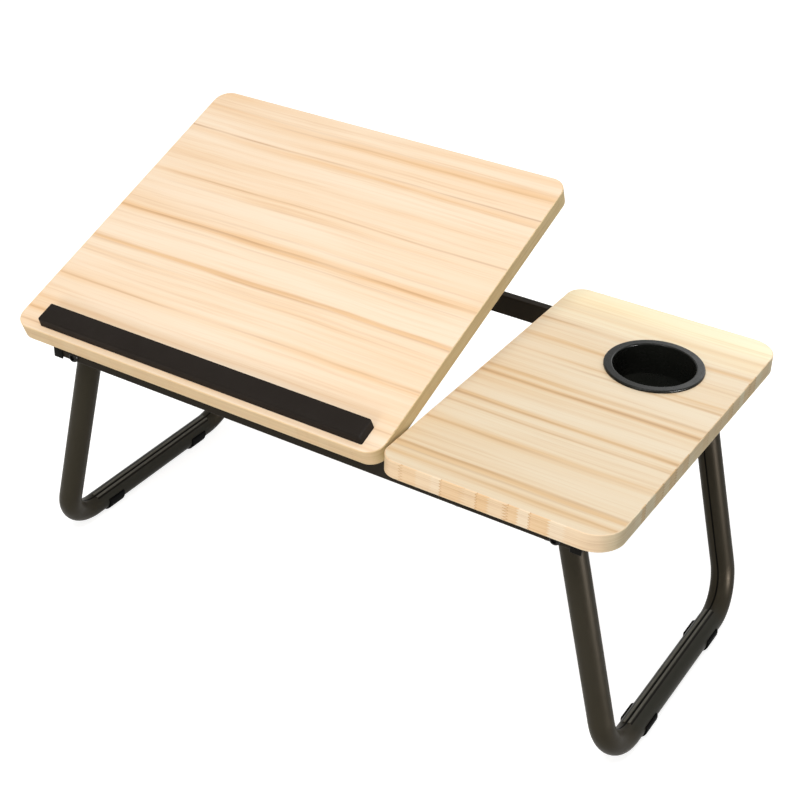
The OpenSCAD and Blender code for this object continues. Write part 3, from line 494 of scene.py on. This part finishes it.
@built_once
def coat_group(name):
    """Fine grain of a powder coat or a moulded surface, with slight wear in colour and gloss."""
    inputs = {
        "Place": None, "Grain Size": 0.001, "Base": BLACK, "Lightening": 0.02, "Roughness": 0.4,
    }  # fmt: skip
    tree, start = new_group(name, inputs, ("Color", "Roughness", "Height"))
    place = start.outputs["Place"]
    size = calc(tree, "DIVIDE", 1.0, start.outputs["Grain Size"])
    sockets = {"Vector": place, "Scale": size, "Detail": 2.0, "Roughness": 0.55}
    fine = add(tree, "ShaderNodeTexNoise", sockets).outputs["Fac"]
    cloud = noise(tree, scaled(tree, place, 26.0, 26.0, 26.0), 4.0, 0.6)
    scuff = noise(tree, scaled(tree, place, 90.0, 60.0, 150.0), 3.0, 0.65)
    light = calc(tree, "MULTIPLY", span(tree, cloud, 0.4, 0.75), start.outputs["Lightening"])
    speckle = calc(tree, "MULTIPLY", span(tree, fine, 0.5, 0.8), start.outputs["Lightening"])
    light = calc(tree, "MULTIPLY_ADD", speckle, 0.6, light)
    result = mix(tree, light, start.outputs["Base"], WORN_COAT)
    scuff = span(tree, scuff, 0.35, 0.7, -0.06, 0.06)
    worn = calc(tree, "ADD", scuff, start.outputs["Roughness"], clamp=True)
    return close_group(tree, {"Color": result, "Roughness": worn, "Height": fine})


@built_once
def rolled_seam_group(name):
    """Painted shade in the seam along the inner side of a leg's U and beside the rolled lips of its
    bottom bar, a painted highlight on the lips, and painted shade darkening the bar.
    """
    inputs = {
        "Place": None, "Half Bar": 0.1, "Bend Radius": 0.04,
        "Base": BLACK, "Bar": BLACK, "Ridge": BLACK, "Groove": BLACK,
    }  # fmt: skip
    tree, start = new_group(name, inputs, ("Color",))
    parts = add(tree, "ShaderNodeSeparateXYZ", {0: start.outputs["Place"]})
    across = calc(tree, "ABSOLUTE", parts.outputs["X"])
    along = calc(tree, "ABSOLUTE", parts.outputs["Y"])
    # inside the U is nearer to the bends' centres than the tube's middle line
    past = calc(tree, "MAXIMUM", calc(tree, "SUBTRACT", along, start.outputs["Half Bar"]), 0.0)
    below = calc(tree, "SUBTRACT", start.outputs["Bend Radius"], parts.outputs["Z"])
    below = calc(tree, "MAXIMUM", below, 0.0)
    reach = calc(tree, "MULTIPLY_ADD", past, past, calc(tree, "MULTIPLY", below, below))
    inside = calc(tree, "LESS_THAN", calc(tree, "SQRT", reach), start.outputs["Bend Radius"])
    on_bar = calc(tree, "MULTIPLY", inside, calc(tree, "LESS_THAN", along, start.outputs["Half Bar"]))
    at = calc(tree, "DIVIDE", across, SEAM_REACH, clamp=True)
    seam = ramp(tree, at, SEAM_LINE_SHADE)
    beside_shade = ramp(tree, at, SEAM_GROOVE_SHADE)
    top = ramp(tree, at, SEAM_LIP_HIGHLIGHT)
    # painted shade: the bottom bar is darker than the posts for how it is lit; this fades out where the
    # bends begin
    past = calc(tree, "SUBTRACT", along, start.outputs["Half Bar"])
    straight = span(tree, past, -8.0 * MM, 12.0 * MM, 1.0, 0.0)
    result = mix(tree, straight, start.outputs["Base"], start.outputs["Bar"])
    # painted highlight on the rolled lips
    result = mix(tree, calc(tree, "MULTIPLY", top, on_bar), result, start.outputs["Ridge"])
    # painted shade in the seam and in the grooves beside the lips
    result = mix(tree, calc(tree, "MULTIPLY", seam, inside), result, start.outputs["Groove"])
    result = mix(tree, calc(tree, "MULTIPLY", beside_shade, on_bar), result, start.outputs["Groove"])
    return close_group(tree, {"Color": result})


@built_once
def plating_group(name):
    """Plated steel: drawn lines, clouded brightness and small stains."""
    inputs = {"Place": None, "Base": WHITE, "Roughness": 0.35}
    tree, start = new_group(name, inputs, ("Color", "Roughness", "Height"))
    place = start.outputs["Place"]
    drawn = noise(tree, scaled(tree, place, 150.0, 2600.0, 2600.0), 2.0)
    cloud = noise(tree, scaled(tree, place, 120.0, 120.0, 120.0), 3.0, 0.6)
    stain = span(tree, cloud, 0.45, 0.8, 0.0, 0.4)
    stained = mix(tree, stain, start.outputs["Base"], STAINED_METAL)
    rough = span(tree, cloud, 0.2, 0.8, -0.1, 0.1)
    rough = calc(tree, "ADD", rough, start.outputs["Roughness"], clamp=True)
    return close_group(tree, {"Color": stained, "Roughness": rough, "Height": drawn})


# Materials


def new_material(name):
    """Empty node material, with its tree and Principled shader."""
    made = bpy.data.materials.new(name)
    made.use_nodes = True
    tree = made.node_tree
    shader = next(n for n in tree.nodes if n.type == "BSDF_PRINCIPLED")
    return made, tree, shader


def within(tree, vector, matrix):
    """Vector in the coordinates that the matrix places."""
    back = matrix.inverted()
    sockets = {"Vector": vector, "Location": back.to_translation(), "Rotation": back.to_euler()}
    return add(tree, "ShaderNodeMapping", sockets, vector_type="POINT").outputs[0]


def object_place(tree, matrix=None):
    """Object coordinates, or those of a board that the matrix places."""
    place = add(tree, "ShaderNodeTexCoord").outputs["Object"]
    return place if matrix is None else within(tree, place, matrix)


def put_group(tree, group, sockets):
    """Places a node group with its values."""
    return add(tree, "ShaderNodeGroup", sockets, node_tree=group)


def bump(tree, shader, height, strength, relief=GRAIN_RELIEF):
    """Bumps a shader's surface. The strength is a share of the relief."""
    made = add(tree, "ShaderNodeBump", {"Height": height, "Strength": strength, "Distance": relief})
    tree.links.new(made.outputs[0], shader.inputs["Normal"])


def laminate(name, group, matrix, ground, contrast, shift=0.0):
    """Printed pine laminate for one board, with the print shifted along it."""
    wood = bpy.context.scene.desk_wood
    made, tree, shader = new_material(name)
    place = object_place(tree, Matrix.Translation((shift, 0.0, 0.0)) @ matrix)
    printed = put_group(
        tree,
        group,
        {
            "Place": place, "Wander": wood.wander, "Contrast": contrast, "Ground": opaque(ground),
            "Pale": opaque(wood.pale_and_lit), "Band": opaque(wood.band), "Line": opaque(wood.line),
        },
    )  # fmt: skip
    tree.links.new(printed.outputs["Color"], shader.inputs["Base Color"])
    rough = calc(tree, "MULTIPLY_ADD", printed.outputs["Streaks"], 0.12, wood.roughness)
    tree.links.new(rough, shader.inputs["Roughness"])
    shader.inputs["Specular IOR Level"].default_value = 0.3
    bump(tree, shader, printed.outputs["Height"], 0.12)
    return made


def edge_finish(name, matrix, ground, blocks):
    """Edge band of one board."""
    edge = bpy.context.scene.desk_edge
    made, tree, shader = new_material(name)
    layers = put_group(
        tree,
        edge_layers_group("Edge Layers"),
        {
            "Place": object_place(tree, matrix), "Spacing": edge.spacing, "Finger": edge.finger,
            "Blocks": blocks, "Ground": opaque(ground), "Layer": opaque(edge.layer),
            "Block": opaque(edge.block), "Ends": opaque(edge.shaded_ends),
            "Facing": add(tree, "ShaderNodeTexCoord").outputs["Normal"],
        },
    )  # fmt: skip
    tree.links.new(layers.outputs["Color"], shader.inputs["Base Color"])
    shader.inputs["Roughness"].default_value = 0.52
    shader.inputs["Specular IOR Level"].default_value = 0.08
    bump(tree, shader, layers.outputs["Height"], 0.15)
    return made


def grained(name, base, roughness, grain, strength, lightening, specular, tint=None, shade=None):
    """Powder coat, moulded plastic or rubber: dark, with a fine grain. Shade may vary the base."""
    made, tree, shader = new_material(name)
    coat = put_group(
        tree,
        coat_group("Surface Grain"),
        {
            "Place": object_place(tree), "Grain Size": grain,
            "Base": shade(tree, base) if shade else opaque(base),
            "Lightening": lightening, "Roughness": roughness,
        },
    )  # fmt: skip
    tree.links.new(coat.outputs["Color"], shader.inputs["Base Color"])
    tree.links.new(coat.outputs["Roughness"], shader.inputs["Roughness"])
    shader.inputs["Specular IOR Level"].default_value = specular
    if tint:
        shader.inputs["Specular Tint"].default_value = opaque(tint)
    bump(tree, shader, coat.outputs["Height"], strength)
    return made


def seamed(tree, base):
    """Colour of a leg's tube with its seam, with painted shade and highlight, the same on both legs."""
    steel = bpy.context.scene.desk_steel
    parts = add(tree, "ShaderNodeSeparateXYZ", {0: object_place(tree)})
    across = calc(tree, "ABSOLUTE", parts.outputs["X"])
    sockets = {"X": across, "Y": parts.outputs["Y"], "Z": parts.outputs["Z"]}
    right = add(tree, "ShaderNodeCombineXYZ", sockets).outputs[0]
    # the middle of the bottom bar is the origin
    low, high = box_on("right_leg", LEG_FRAME)
    bar_frame = LEG_FRAME @ Matrix.Translation((0.0, 0.0, low.z + steel.tube_radius))
    place = within(tree, right, bar_frame)
    seam = put_group(
        tree,
        rolled_seam_group("Rolled Seam"),
        {
            "Place": place, "Half Bar": high.y - steel.tube_radius - steel.bend_radius,
            "Bend Radius": steel.bend_radius, "Base": opaque(base),
            "Bar": opaque(steel.bar), "Ridge": opaque(steel.ridge), "Groove": opaque(steel.groove_shade),
        },
    )  # fmt: skip
    return seam.outputs["Color"]


def plated(name, base, roughness):
    """Zinc or nickel plated steel."""
    made, tree, shader = new_material(name)
    sockets = {"Place": object_place(tree), "Base": opaque(base), "Roughness": roughness}
    plate = put_group(tree, plating_group("Plating"), sockets)
    tree.links.new(plate.outputs["Color"], shader.inputs["Base Color"])
    tree.links.new(plate.outputs["Roughness"], shader.inputs["Roughness"])
    shader.inputs["Metallic"].default_value = 1.0
    bump(tree, shader, plate.outputs["Height"], 0.1, PLATING_RELIEF)
    return made


def finish_nodes(material, *names):
    """Gives CAD nodes a material."""
    for name in names:
        node = frame["nodes"][name]
        for place in node.material_slots:
            place.material = material


# Meshes


def new_piece(name, mesh, material, body, slot, *nodes):
    """Object from a bmesh that rides on a body, with the given material, and stands for CAD nodes; the
    slot is not used.
    """
    bmesh.ops.recalc_face_normals(mesh, faces=mesh.faces)
    data = bpy.data.meshes.new(name)
    mesh.to_mesh(data)
    mesh.free()
    data.shade_smooth()
    data.set_sharp_from_angle(angle=SMOOTH_ANGLE)
    data.materials.append(material)
    made = bpy.data.objects.new(name, data)
    bpy.context.scene.collection.objects.link(made)
    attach(made, body)
    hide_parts(*nodes)


def skin(mesh, rings):
    """Faces between rings of points, each ring closed round, with both ends capped."""
    rows = [[mesh.verts.new(p) for p in ring] for ring in rings]
    for a, b in zip(rows, rows[1:]):
        for i in range(len(a)):
            j = (i + 1) % len(a)
            mesh.faces.new((a[i], a[j], b[j], b[i]))
    mesh.faces.new(rows[0][::-1])
    mesh.faces.new(rows[-1])


def turned(mesh, profile, segments, matrix):
    """Solid of revolution about Z from (radius, height), placed by the matrix."""
    rings = [
        [
            matrix @ Vector((r * math.cos(a), r * math.sin(a), z))
            for a in (2 * math.pi * i / segments for i in range(segments))
        ]
        for r, z in profile
    ]
    skin(mesh, rings)


def rounded_block(mesh, low, high, rounding):
    """Box with round edges."""
    made = bmesh.ops.create_cube(mesh, size=1.0)
    size, middle = high - low, (high + low) / 2
    for v in made["verts"]:
        v.co = Vector(v.co[i] * size[i] + middle[i] for i in range(3))
    edges = {e for v in made["verts"] for e in v.link_edges}
    bmesh.ops.bevel(
        mesh, geom=list(edges), offset=rounding, segments=3, profile=0.5, affect="EDGES"
    )


def stop_bar_mesh(plastic):
    """Bar with leaning ends and round upper edges, in the tilting board's coordinates."""
    low, high = STOP_BOX
    middle = (low.x + high.x) / 2
    foot = plastic.stop_length / 2
    top = foot - plastic.end_slope
    mesh = bmesh.new()
    corners = [
        mesh.verts.new((middle + side * reach, y, z))
        for z, reach in ((low.z, foot), (high.z, top))
        for side, y in ((-1, low.y), (1, low.y), (1, high.y), (-1, high.y))
    ]
    mesh.faces.new(corners[3::-1])
    mesh.faces.new(corners[4:])
    for i in range(4):
        j = (i + 1) % 4
        mesh.faces.new((corners[i], corners[j], corners[4 + j], corners[4 + i]))
    upper = [e for e in mesh.edges if any(v in corners[4:] for v in e.verts)]
    bmesh.ops.bevel(
        mesh, geom=upper, offset=plastic.stop_rounding, segments=4, profile=0.5, affect="EDGES"
    )
    mesh.transform(TILT_FRAME)
    return mesh


def end_caps_mesh(plastic):
    """Four caps over the end rails' open ends, each with a plug inside the tube."""
    low, high = CAP_BOX
    rail_low, rail_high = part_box("right_end_rail")
    lip = rail_low.y - low.y
    # each plug goes this deep into the rail, clear of its walls
    depth, inset, edge = 8.0 * MM, 1.25 * MM, 0.2 * MM
    mesh = bmesh.new()
    for x0, x1 in ((-rail_high.x, -rail_low.x), (rail_low.x, rail_high.x)):
        for y0, y1, plug in ((low.y, low.y + lip, depth), (high.y - lip, high.y, -depth)):
            outer = Vector((x0, y0, low.z)), Vector((x1, y1, high.z))
            rounded_block(mesh, *outer, plastic.cap_rounding)
            near, far = sorted((y0 + lip / 2, y0 + lip / 2 + plug))
            rounded_block(
                mesh,
                Vector((x0 + inset, near, rail_low.z + inset)),
                Vector((x1 - inset, far, rail_high.z - inset)),
                edge,
            )
    return mesh


def pad_mesh(box, plastic):
    """Rubber clip round the underside of a bottom bar, flat where it stands, with round ends."""
    low, high = box
    middle_x, outer = (low.x + high.x) / 2, (high.x - low.x) / 2
    wall, rounding = plastic.pad_wall, plastic.pad_rounding
    tube = outer - wall
    axis_z = LEG_BOX[0].z + tube
    half_wrap = math.acos(max(-1.0, (axis_z - high.z) / outer))
    # a quarter circle at both ends: how far along the bar, and how much thinner the wall
    quarter = [math.pi / 2 * k / 5 for k in range(6)]
    curve = [(rounding * (1 - math.cos(a)), 0.5 * (1 - math.sin(a))) for a in quarter]
    sections = [(low.y + along, thinner) for along, thinner in curve]
    sections += [(high.y - along, thinner) for along, thinner in reversed(curve)]
    # steps round the wrap, and the share of the wall that is left at its rim
    around, rim = 40, 0.45
    turns = [half_wrap * (2 * i / around - 1) for i in range(around + 1)]
    rings = []
    for y, thinner in sections:
        outside, inside = [], []
        for turn in turns:
            # the rim thins towards the two ends of the wrap
            near_rim = min(1.0, (half_wrap - abs(turn)) * outer / rounding)
            fullness = rim + (1 - rim) * math.sqrt(near_rim * (2 - near_rim))
            thick = wall * fullness * (1 - thinner)
            for r, row in ((tube + thick, outside), (tube, inside)):
                z = axis_z - r * math.cos(turn)
                row.append((middle_x + r * math.sin(turn), y, max(0.0, z)))
        rings.append(outside + inside[::-1])
    mesh = bmesh.new()
    skin(mesh, rings)
    return mesh


def threaded(mesh, radius, start, end, pitch, segments, matrix):
    """Threaded end of a bolt along Z, with a pointed tip."""
    # rings for each turn, the thread's depth, and how much thinner the tip is
    steps = 6
    depth = 0.55 * pitch
    tip = 0.3 * depth
    count = int((end - start) / pitch * steps)
    rings = []
    for k in range(count + 1):
        z = start + (end - start) * k / count
        fade = min(1.0, k / steps, (count - k) / steps)
        ring = []
        for i in range(segments):
            turn = i / segments
            phase = ((z - start) / pitch - turn) % 1.0
            ridge = abs(2 * phase - 1)
            r = radius - depth * ridge * fade - (tip if k == count else 0.0)
            a = 2 * math.pi * turn
            ring.append(matrix @ Vector((r * math.cos(a), r * math.sin(a), z)))
        rings.append(ring)
    skin(mesh, rings)


def lock_nut(mesh, bore, low, high, segments, matrix):
    """Hexagon with turned-off corners and a plain collar that holds its locking ring."""
    flat = (NUT_BOX[1].z - NUT_BOX[0].z) / 2
    corner = flat / math.cos(math.pi / 6)
    tall = high - low
    shoulder = low + 0.72 * tall
    profile = [
        (low, 0.97 * flat), (low + 0.10 * tall, corner), (shoulder - 0.10 * tall, corner),
        (shoulder, 0.97 * flat), (shoulder, 0.88 * flat), (high - 0.08 * tall, 0.86 * flat),
        (high, 0.78 * flat), (high, bore), (high - 0.06 * tall, bore),
    ]  # fmt: skip
    rings = []
    for z, limit in profile:
        ring = []
        for i in range(segments):
            a = 2 * math.pi * i / segments
            hexagon = flat / math.cos((a + math.pi / 6) % (math.pi / 3) - math.pi / 6)
            r = min(limit, hexagon)
            ring.append(matrix @ Vector((r * math.cos(a), r * math.sin(a), z)))
        rings.append(ring)
    skin(mesh, rings)


def bolt_and_nut_meshes(hardware):
    """Four pivot bolts from outside the rails, and their lock nuts inside the legs."""
    bolts, nuts = bmesh.new(), bmesh.new()
    segments = hardware.segments
    head_r, shank_r = BOLT_BOX[1].x - PIVOT.x, hardware.shank_radius
    head_h, nut_h = hardware.head_height, hardware.nut_height
    # a head's socket, dome and rim: shares of its radius and of its height
    dome = (
        (0.5, 0.3), (0.5, 0.92), (0.58, 1.0), (0.74, 0.93), (0.88, 0.74), (0.97, 0.46),
        (1.0, 0.22), (0.99, 0.05), (0.95, 0.0),
    )  # fmt: skip
    # small steps that keep a head off its rail, and a nut's bore off its thread
    head_step, bore_step = 0.02 * MM, 0.05 * MM
    for side in (-1, 1):
        for end, inward in ((0, 1), (1, -1)):
            # z runs inwards from the rail's outer face
            face = BOLT_BOX[end].y + inward * head_h
            turn = Matrix.Rotation(-inward * math.pi / 2, 4, "X")
            place = Matrix.Translation((side * PIVOT.x, face, PIVOT.z)) @ turn
            near = abs(NUT_BOX[end].y - face)
            far = near + nut_h
            start = far - hardware.thread_length
            head = [(r * head_r, -h * head_h) for r, h in dome]
            turned(bolts, [*head, (shank_r, head_step), (shank_r, start)], segments, place)
            threaded(bolts, shank_r, start, far, hardware.thread_pitch, segments, place)
            lock_nut(nuts, shank_r + bore_step, near, far, 2 * segments, place)
    return bolts, nuts


# Operators


class DESK_OT_boards(bpy.types.Operator):
    """Finish the two boards with printed pine laminate"""

    bl_idname = "desk.boards"
    bl_label = "Boards"

    def execute(self, context):
        wood = context.scene.desk_wood
        group = pine_print_group("Tilting Board Print", TILT_BANDS, TILT_LINES, TILT_PALE_AND_LIT)
        tilt = laminate(
            "Tilting Board Laminate", group, TILT_FRAME, wood.tilt_base, wood.tilt_contrast
        )
        group = pine_print_group("Side Board Print", SIDE_BANDS, SIDE_LINES, SIDE_PALE_AND_LIT)
        side = laminate(
            "Side Board Laminate", group, SIDE_FRAME, wood.side_base, wood.side_contrast, PRINT_SHIFT
        )
        finish_nodes(tilt, "tilt_board")
        finish_nodes(side, "side_board")
        return {"FINISHED"}


class DESK_OT_edges(bpy.types.Operator):
    """Finish the edge bands with thin layers and finger-jointed blocks"""

    bl_idname = "desk.edges"
    bl_label = "Edge Bands"

    def execute(self, context):
        edge = context.scene.desk_edge
        tilt = edge_finish("Tilting Board Edge", TILT_FRAME, edge.tilt_base, edge.tilt_blocks)
        side = edge_finish("Side Board Edge", SIDE_FRAME, edge.side_base, edge.side_blocks)
        finish_nodes(tilt, "tilt_edge_band")
        finish_nodes(side, "side_edge_band")
        return {"FINISHED"}


class DESK_OT_stop_bar(bpy.types.Operator):
    """Build the moulded stop bar"""

    bl_idname = "desk.stop_bar"
    bl_label = "Stop Bar"

    def execute(self, context):
        plastic = context.scene.desk_plastic
        material = grained(
            "Stop Bar Plastic", plastic.stop,
            roughness=0.6, grain=0.6 * MM, strength=0.2, lightening=0.008, specular=0.06,
        )  # fmt: skip
        new_piece("book_stop", stop_bar_mesh(plastic), material, "tilt_top", "stop_bar", "stop_bar")
        return {"FINISHED"}


class DESK_OT_cup_well(bpy.types.Operator):
    """Finish the cup well"""

    bl_idname = "desk.cup_well"
    bl_label = "Cup Well"

    def execute(self, context):
        plastic = context.scene.desk_plastic
        material = grained(
            "Cup Well Plastic", plastic.cup,
            roughness=0.26, grain=0.8 * MM, strength=0.08, lightening=0.01, specular=0.15,
        )  # fmt: skip
        finish_nodes(material, "cup_holder")
        return {"FINISHED"}


class DESK_OT_frame(bpy.types.Operator):
    """Finish the rails and straps, and build their end caps"""

    bl_idname = "desk.frame"
    bl_label = "Frame"

    def execute(self, context):
        steel, plastic = context.scene.desk_steel, context.scene.desk_plastic
        coat = grained(
            "Frame Powder Coat", steel.rail, steel.rail_roughness,
            grain=0.7 * MM, strength=0.25, lightening=0.008, specular=0.04, tint=steel.tint,
        )  # fmt: skip
        finish_nodes(
            coat,
            "front_rail", "rear_rail", "left_end_rail", "right_end_rail", "left_strap", "right_strap",
        )  # fmt: skip
        moulded = grained(
            "Moulded Plastic", plastic.moulded,
            roughness=0.5, grain=0.9 * MM, strength=0.1, lightening=0.006, specular=0.04,
        )  # fmt: skip
        finish_nodes(moulded, "leg_spacers", "left_leg_plugs", "right_leg_plugs")
        mesh = end_caps_mesh(plastic)
        new_piece("rail_plugs", mesh, moulded, "frame", "black_plastic", "rail_end_caps")
        return {"FINISHED"}


class DESK_OT_legs(bpy.types.Operator):
    """Finish the leg tubes and build the foot pads"""

    bl_idname = "desk.legs"
    bl_label = "Legs"

    def execute(self, context):
        steel, plastic = context.scene.desk_steel, context.scene.desk_plastic
        coat = grained(
            "Leg Powder Coat", steel.leg, steel.leg_roughness,
            grain=0.9 * MM, strength=0.12, lightening=0.008, specular=0.04, tint=steel.tint, shade=seamed,
        )  # fmt: skip
        finish_nodes(coat, "left_leg", "right_leg")
        rubber = grained(
            "Rubber", plastic.rubber,
            roughness=0.65, grain=0.8 * MM, strength=0.2, lightening=0.004, specular=0.02,
        )  # fmt: skip
        finish_nodes(rubber, "rubber_bumpers")
        for side in ("left", "right"):
            for end in ("front", "rear"):
                name = f"{side}_{end}_pad"
                mesh = pad_mesh(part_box(name), plastic)
                new_piece(f"{side}_{end}_foot", mesh, rubber, f"{side}_leg", "pad_rubber", name)
        return {"FINISHED"}


class DESK_OT_hinges(bpy.types.Operator):
    """Finish the hinges and their pins"""

    bl_idname = "desk.hinges"
    bl_label = "Hinges"

    def execute(self, context):
        hardware = context.scene.desk_hardware
        finish_nodes(
            plated("Hinge Plating", hardware.nickel, 0.38),
            "hinge_rail_leaves", "hinge_board_leaves", "hinge_pins",
        )  # fmt: skip
        return {"FINISHED"}


class DESK_OT_prop(bpy.types.Operator):
    """Finish the prop, its clamps and its racks"""

    bl_idname = "desk.prop"
    bl_label = "Prop and Racks"

    def execute(self, context):
        steel, hardware = context.scene.desk_steel, context.scene.desk_hardware
        coat = grained(
            "Prop Powder Coat", steel.rail,
            roughness=0.46, grain=0.7 * MM, strength=0.2, lightening=0.012, specular=0.2, tint=steel.tint,
        )  # fmt: skip
        finish_nodes(coat, "prop")
        zinc = plated("Zinc Plating", hardware.zinc, 0.36)
        finish_nodes(zinc, "prop_clamps", "left_rack", "right_rack", "rack_rivets")
        return {"FINISHED"}


class DESK_OT_fasteners(bpy.types.Operator):
    """Build the pivot bolts and lock nuts, and finish the screws and washers"""

    bl_idname = "desk.fasteners"
    bl_label = "Fasteners"

    def execute(self, context):
        hardware = context.scene.desk_hardware
        zinc = plated("Screw Plating", hardware.zinc, 0.32)
        finish_nodes(
            zinc,
            "leg_washers", "board_screws", "stop_bar_screws", "prop_clamp_screws",
            "hinge_rail_screws", "hinge_board_screws",
        )  # fmt: skip
        black = grained(
            "Black Oxide", hardware.black_oxide,
            roughness=0.36, grain=0.5 * MM, strength=0.1, lightening=0.01, specular=0.12,
        )  # fmt: skip
        bolts, nuts = bolt_and_nut_meshes(hardware)
        new_piece("pivot_bolts", bolts, black, "frame", "bolt_steel", "leg_bolts")
        new_piece("lock_nuts", nuts, zinc, "frame", "zinc_steel", "leg_nuts")
        return {"FINISHED"}


class DESK_OT_stage(bpy.types.Operator):
    """Set up the floor, the light and the camera"""

    bl_idname = "desk.stage"
    bl_label = "Stage"

    def execute(self, context):
        stage = context.scene.desk_stage
        context.scene.view_settings.view_transform = "Standard"
        self.floor(context, stage)
        self.world(context, stage)
        for name, (place, target, size, unseen_by) in LIGHTS.items():
            watts = getattr(stage, f"{name}_power")
            lamp = self.area(context, f"{name.title()} Light", place, target, size, watts)
            if unseen_by:
                setattr(lamp, f"visible_{unseen_by}", False)
        self.camera(context)
        return {"FINISHED"}

    @staticmethod
    def seen(tree):
        """Light Path mask of the rays that see the white background."""
        path = add(tree, "ShaderNodeLightPath")
        mask = calc(tree, "MAXIMUM", path.outputs["Is Camera Ray"], path.outputs["Is Glossy Ray"])
        return calc(tree, "MAXIMUM", mask, path.outputs["Is Transmission Ray"])

    def floor(self, context, stage):
        """Pale floor that the camera sees as white, apart from the shadow on it."""
        made, tree, shader = new_material("Floor")
        shader.inputs["Base Color"].default_value = opaque(stage.floor)
        shader.inputs["Roughness"].default_value = 0.9
        shader.inputs["Specular IOR Level"].default_value = 0.0
        shader.inputs["Emission Color"].default_value = WHITE
        glow = calc(tree, "MULTIPLY", self.seen(tree), stage.floor_glow)
        tree.links.new(glow, shader.inputs["Emission Strength"])
        # from below, the camera looks through the floor
        clear = add(tree, "ShaderNodeBsdfTransparent")
        path = add(tree, "ShaderNodeLightPath")
        back = add(tree, "ShaderNodeNewGeometry").outputs["Backfacing"]
        through = calc(tree, "MULTIPLY", back, path.outputs["Is Camera Ray"])
        both = add(
            tree, "ShaderNodeMixShader", {0: through, 1: shader.outputs[0], 2: clear.outputs[0]}
        )
        output = next(n for n in tree.nodes if n.type == "OUTPUT_MATERIAL")
        tree.links.new(both.outputs[0], output.inputs["Surface"])
        data = bpy.data.meshes.new("floor")
        half, z = FLOOR_HALF, -FLOOR_BELOW
        corners = [(-half, -half, z), (half, -half, z), (half, half, z), (-half, half, z)]
        data.from_pydata(corners, [], [(0, 1, 2, 3)])
        data.materials.append(made)
        floor = bpy.data.objects.new("floor", data)
        context.scene.collection.objects.link(floor)

    def world(self, context, stage):
        """White behind the desk, and an even, weaker light from all round."""
        world = bpy.data.worlds.new("Studio")
        context.scene.world = world
        world.use_nodes = True
        tree = world.node_tree
        tree.nodes.clear()
        light = add(tree, "ShaderNodeBackground", {"Color": WHITE, "Strength": stage.sky})
        white = add(tree, "ShaderNodeBackground", {"Color": WHITE, "Strength": 1.0})
        both = add(
            tree, "ShaderNodeMixShader", {0: self.seen(tree), 1: light.outputs[0], 2: white.outputs[0]}
        )
        add(tree, "ShaderNodeOutputWorld", {"Surface": both.outputs[0]})

    @staticmethod
    def area(context, name, place, target, size, watts):
        """Soft round light aimed at a point."""
        data = bpy.data.lights.new(name, "AREA")
        data.shape = "DISK"
        data.size = size
        data.energy = watts
        lamp = bpy.data.objects.new(name, data)
        lamp.location = place
        aim = Vector(target) - Vector(place)
        lamp.rotation_euler = aim.to_track_quat("-Z", "Y").to_euler()
        context.scene.collection.objects.link(lamp)
        return lamp

    @staticmethod
    def camera(context):
        """Camera at the photographed view."""
        ahead = Vector(
            (
                -math.sin(CAMERA_YAW) * math.cos(CAMERA_PITCH),
                math.cos(CAMERA_YAW) * math.cos(CAMERA_PITCH),
                -math.sin(CAMERA_PITCH),
            )
        )
        level = Vector((math.cos(CAMERA_YAW), math.sin(CAMERA_YAW), 0.0))
        upward = level.cross(ahead)
        right = level * math.cos(CAMERA_ROLL) + upward * math.sin(CAMERA_ROLL)
        up = upward * math.cos(CAMERA_ROLL) - level * math.sin(CAMERA_ROLL)
        data = bpy.data.cameras.new("Camera")
        data.sensor_width = SENSOR
        data.lens = SENSOR * FOCAL
        data.clip_start, data.clip_end = 0.01, 100.0
        camera = bpy.data.objects.new("Camera", data)
        turn = Matrix((right, up, -ahead)).transposed()
        camera.matrix_world = Matrix.Translation(CAMERA_PLACE) @ turn.to_4x4()
        context.scene.collection.objects.link(camera)
        context.scene.camera = camera


OPERATORS = (
    DESK_OT_boards,
    DESK_OT_edges,
    DESK_OT_stop_bar,
    DESK_OT_cup_well,
    DESK_OT_frame,
    DESK_OT_legs,
    DESK_OT_hinges,
    DESK_OT_prop,
    DESK_OT_fasteners,
    DESK_OT_stage,
)
GROUPS = {
    "desk_wood": DeskWood,
    "desk_edge": DeskEdge,
    "desk_steel": DeskSteel,
    "desk_plastic": DeskPlastic,
    "desk_hardware": DeskHardware,
    "desk_stage": DeskStage,
}


class VIEW3D_PT_lap_desk(bpy.types.Panel):
    """Pieces of the lap desk and their settings"""

    bl_label = "Lap Desk"
    bl_space_type = "VIEW_3D"
    bl_region_type = "UI"
    bl_category = "Lap Desk"

    def draw(self, context):
        for kind in OPERATORS:
            self.layout.operator(kind.bl_idname)
        for name, group in GROUPS.items():
            box = self.layout.box()
            for key in group.__annotations__:
                box.prop(getattr(context.scene, name), key)


def register():
    for kind in (*GROUPS.values(), *OPERATORS, VIEW3D_PT_lap_desk):
        bpy.utils.register_class(kind)
    for name, group in GROUPS.items():
        setattr(bpy.types.Scene, name, PointerProperty(type=group))


def unregister():
    for name in GROUPS:
        delattr(bpy.types.Scene, name)
    for kind in reversed((*GROUPS.values(), *OPERATORS, VIEW3D_PT_lap_desk)):
        bpy.utils.unregister_class(kind)


def main():
    register()
    for kind in OPERATORS:
        group, name = kind.bl_idname.split(".")
        getattr(getattr(bpy.ops, group), name)()


if __name__ == "__main__":
    main()
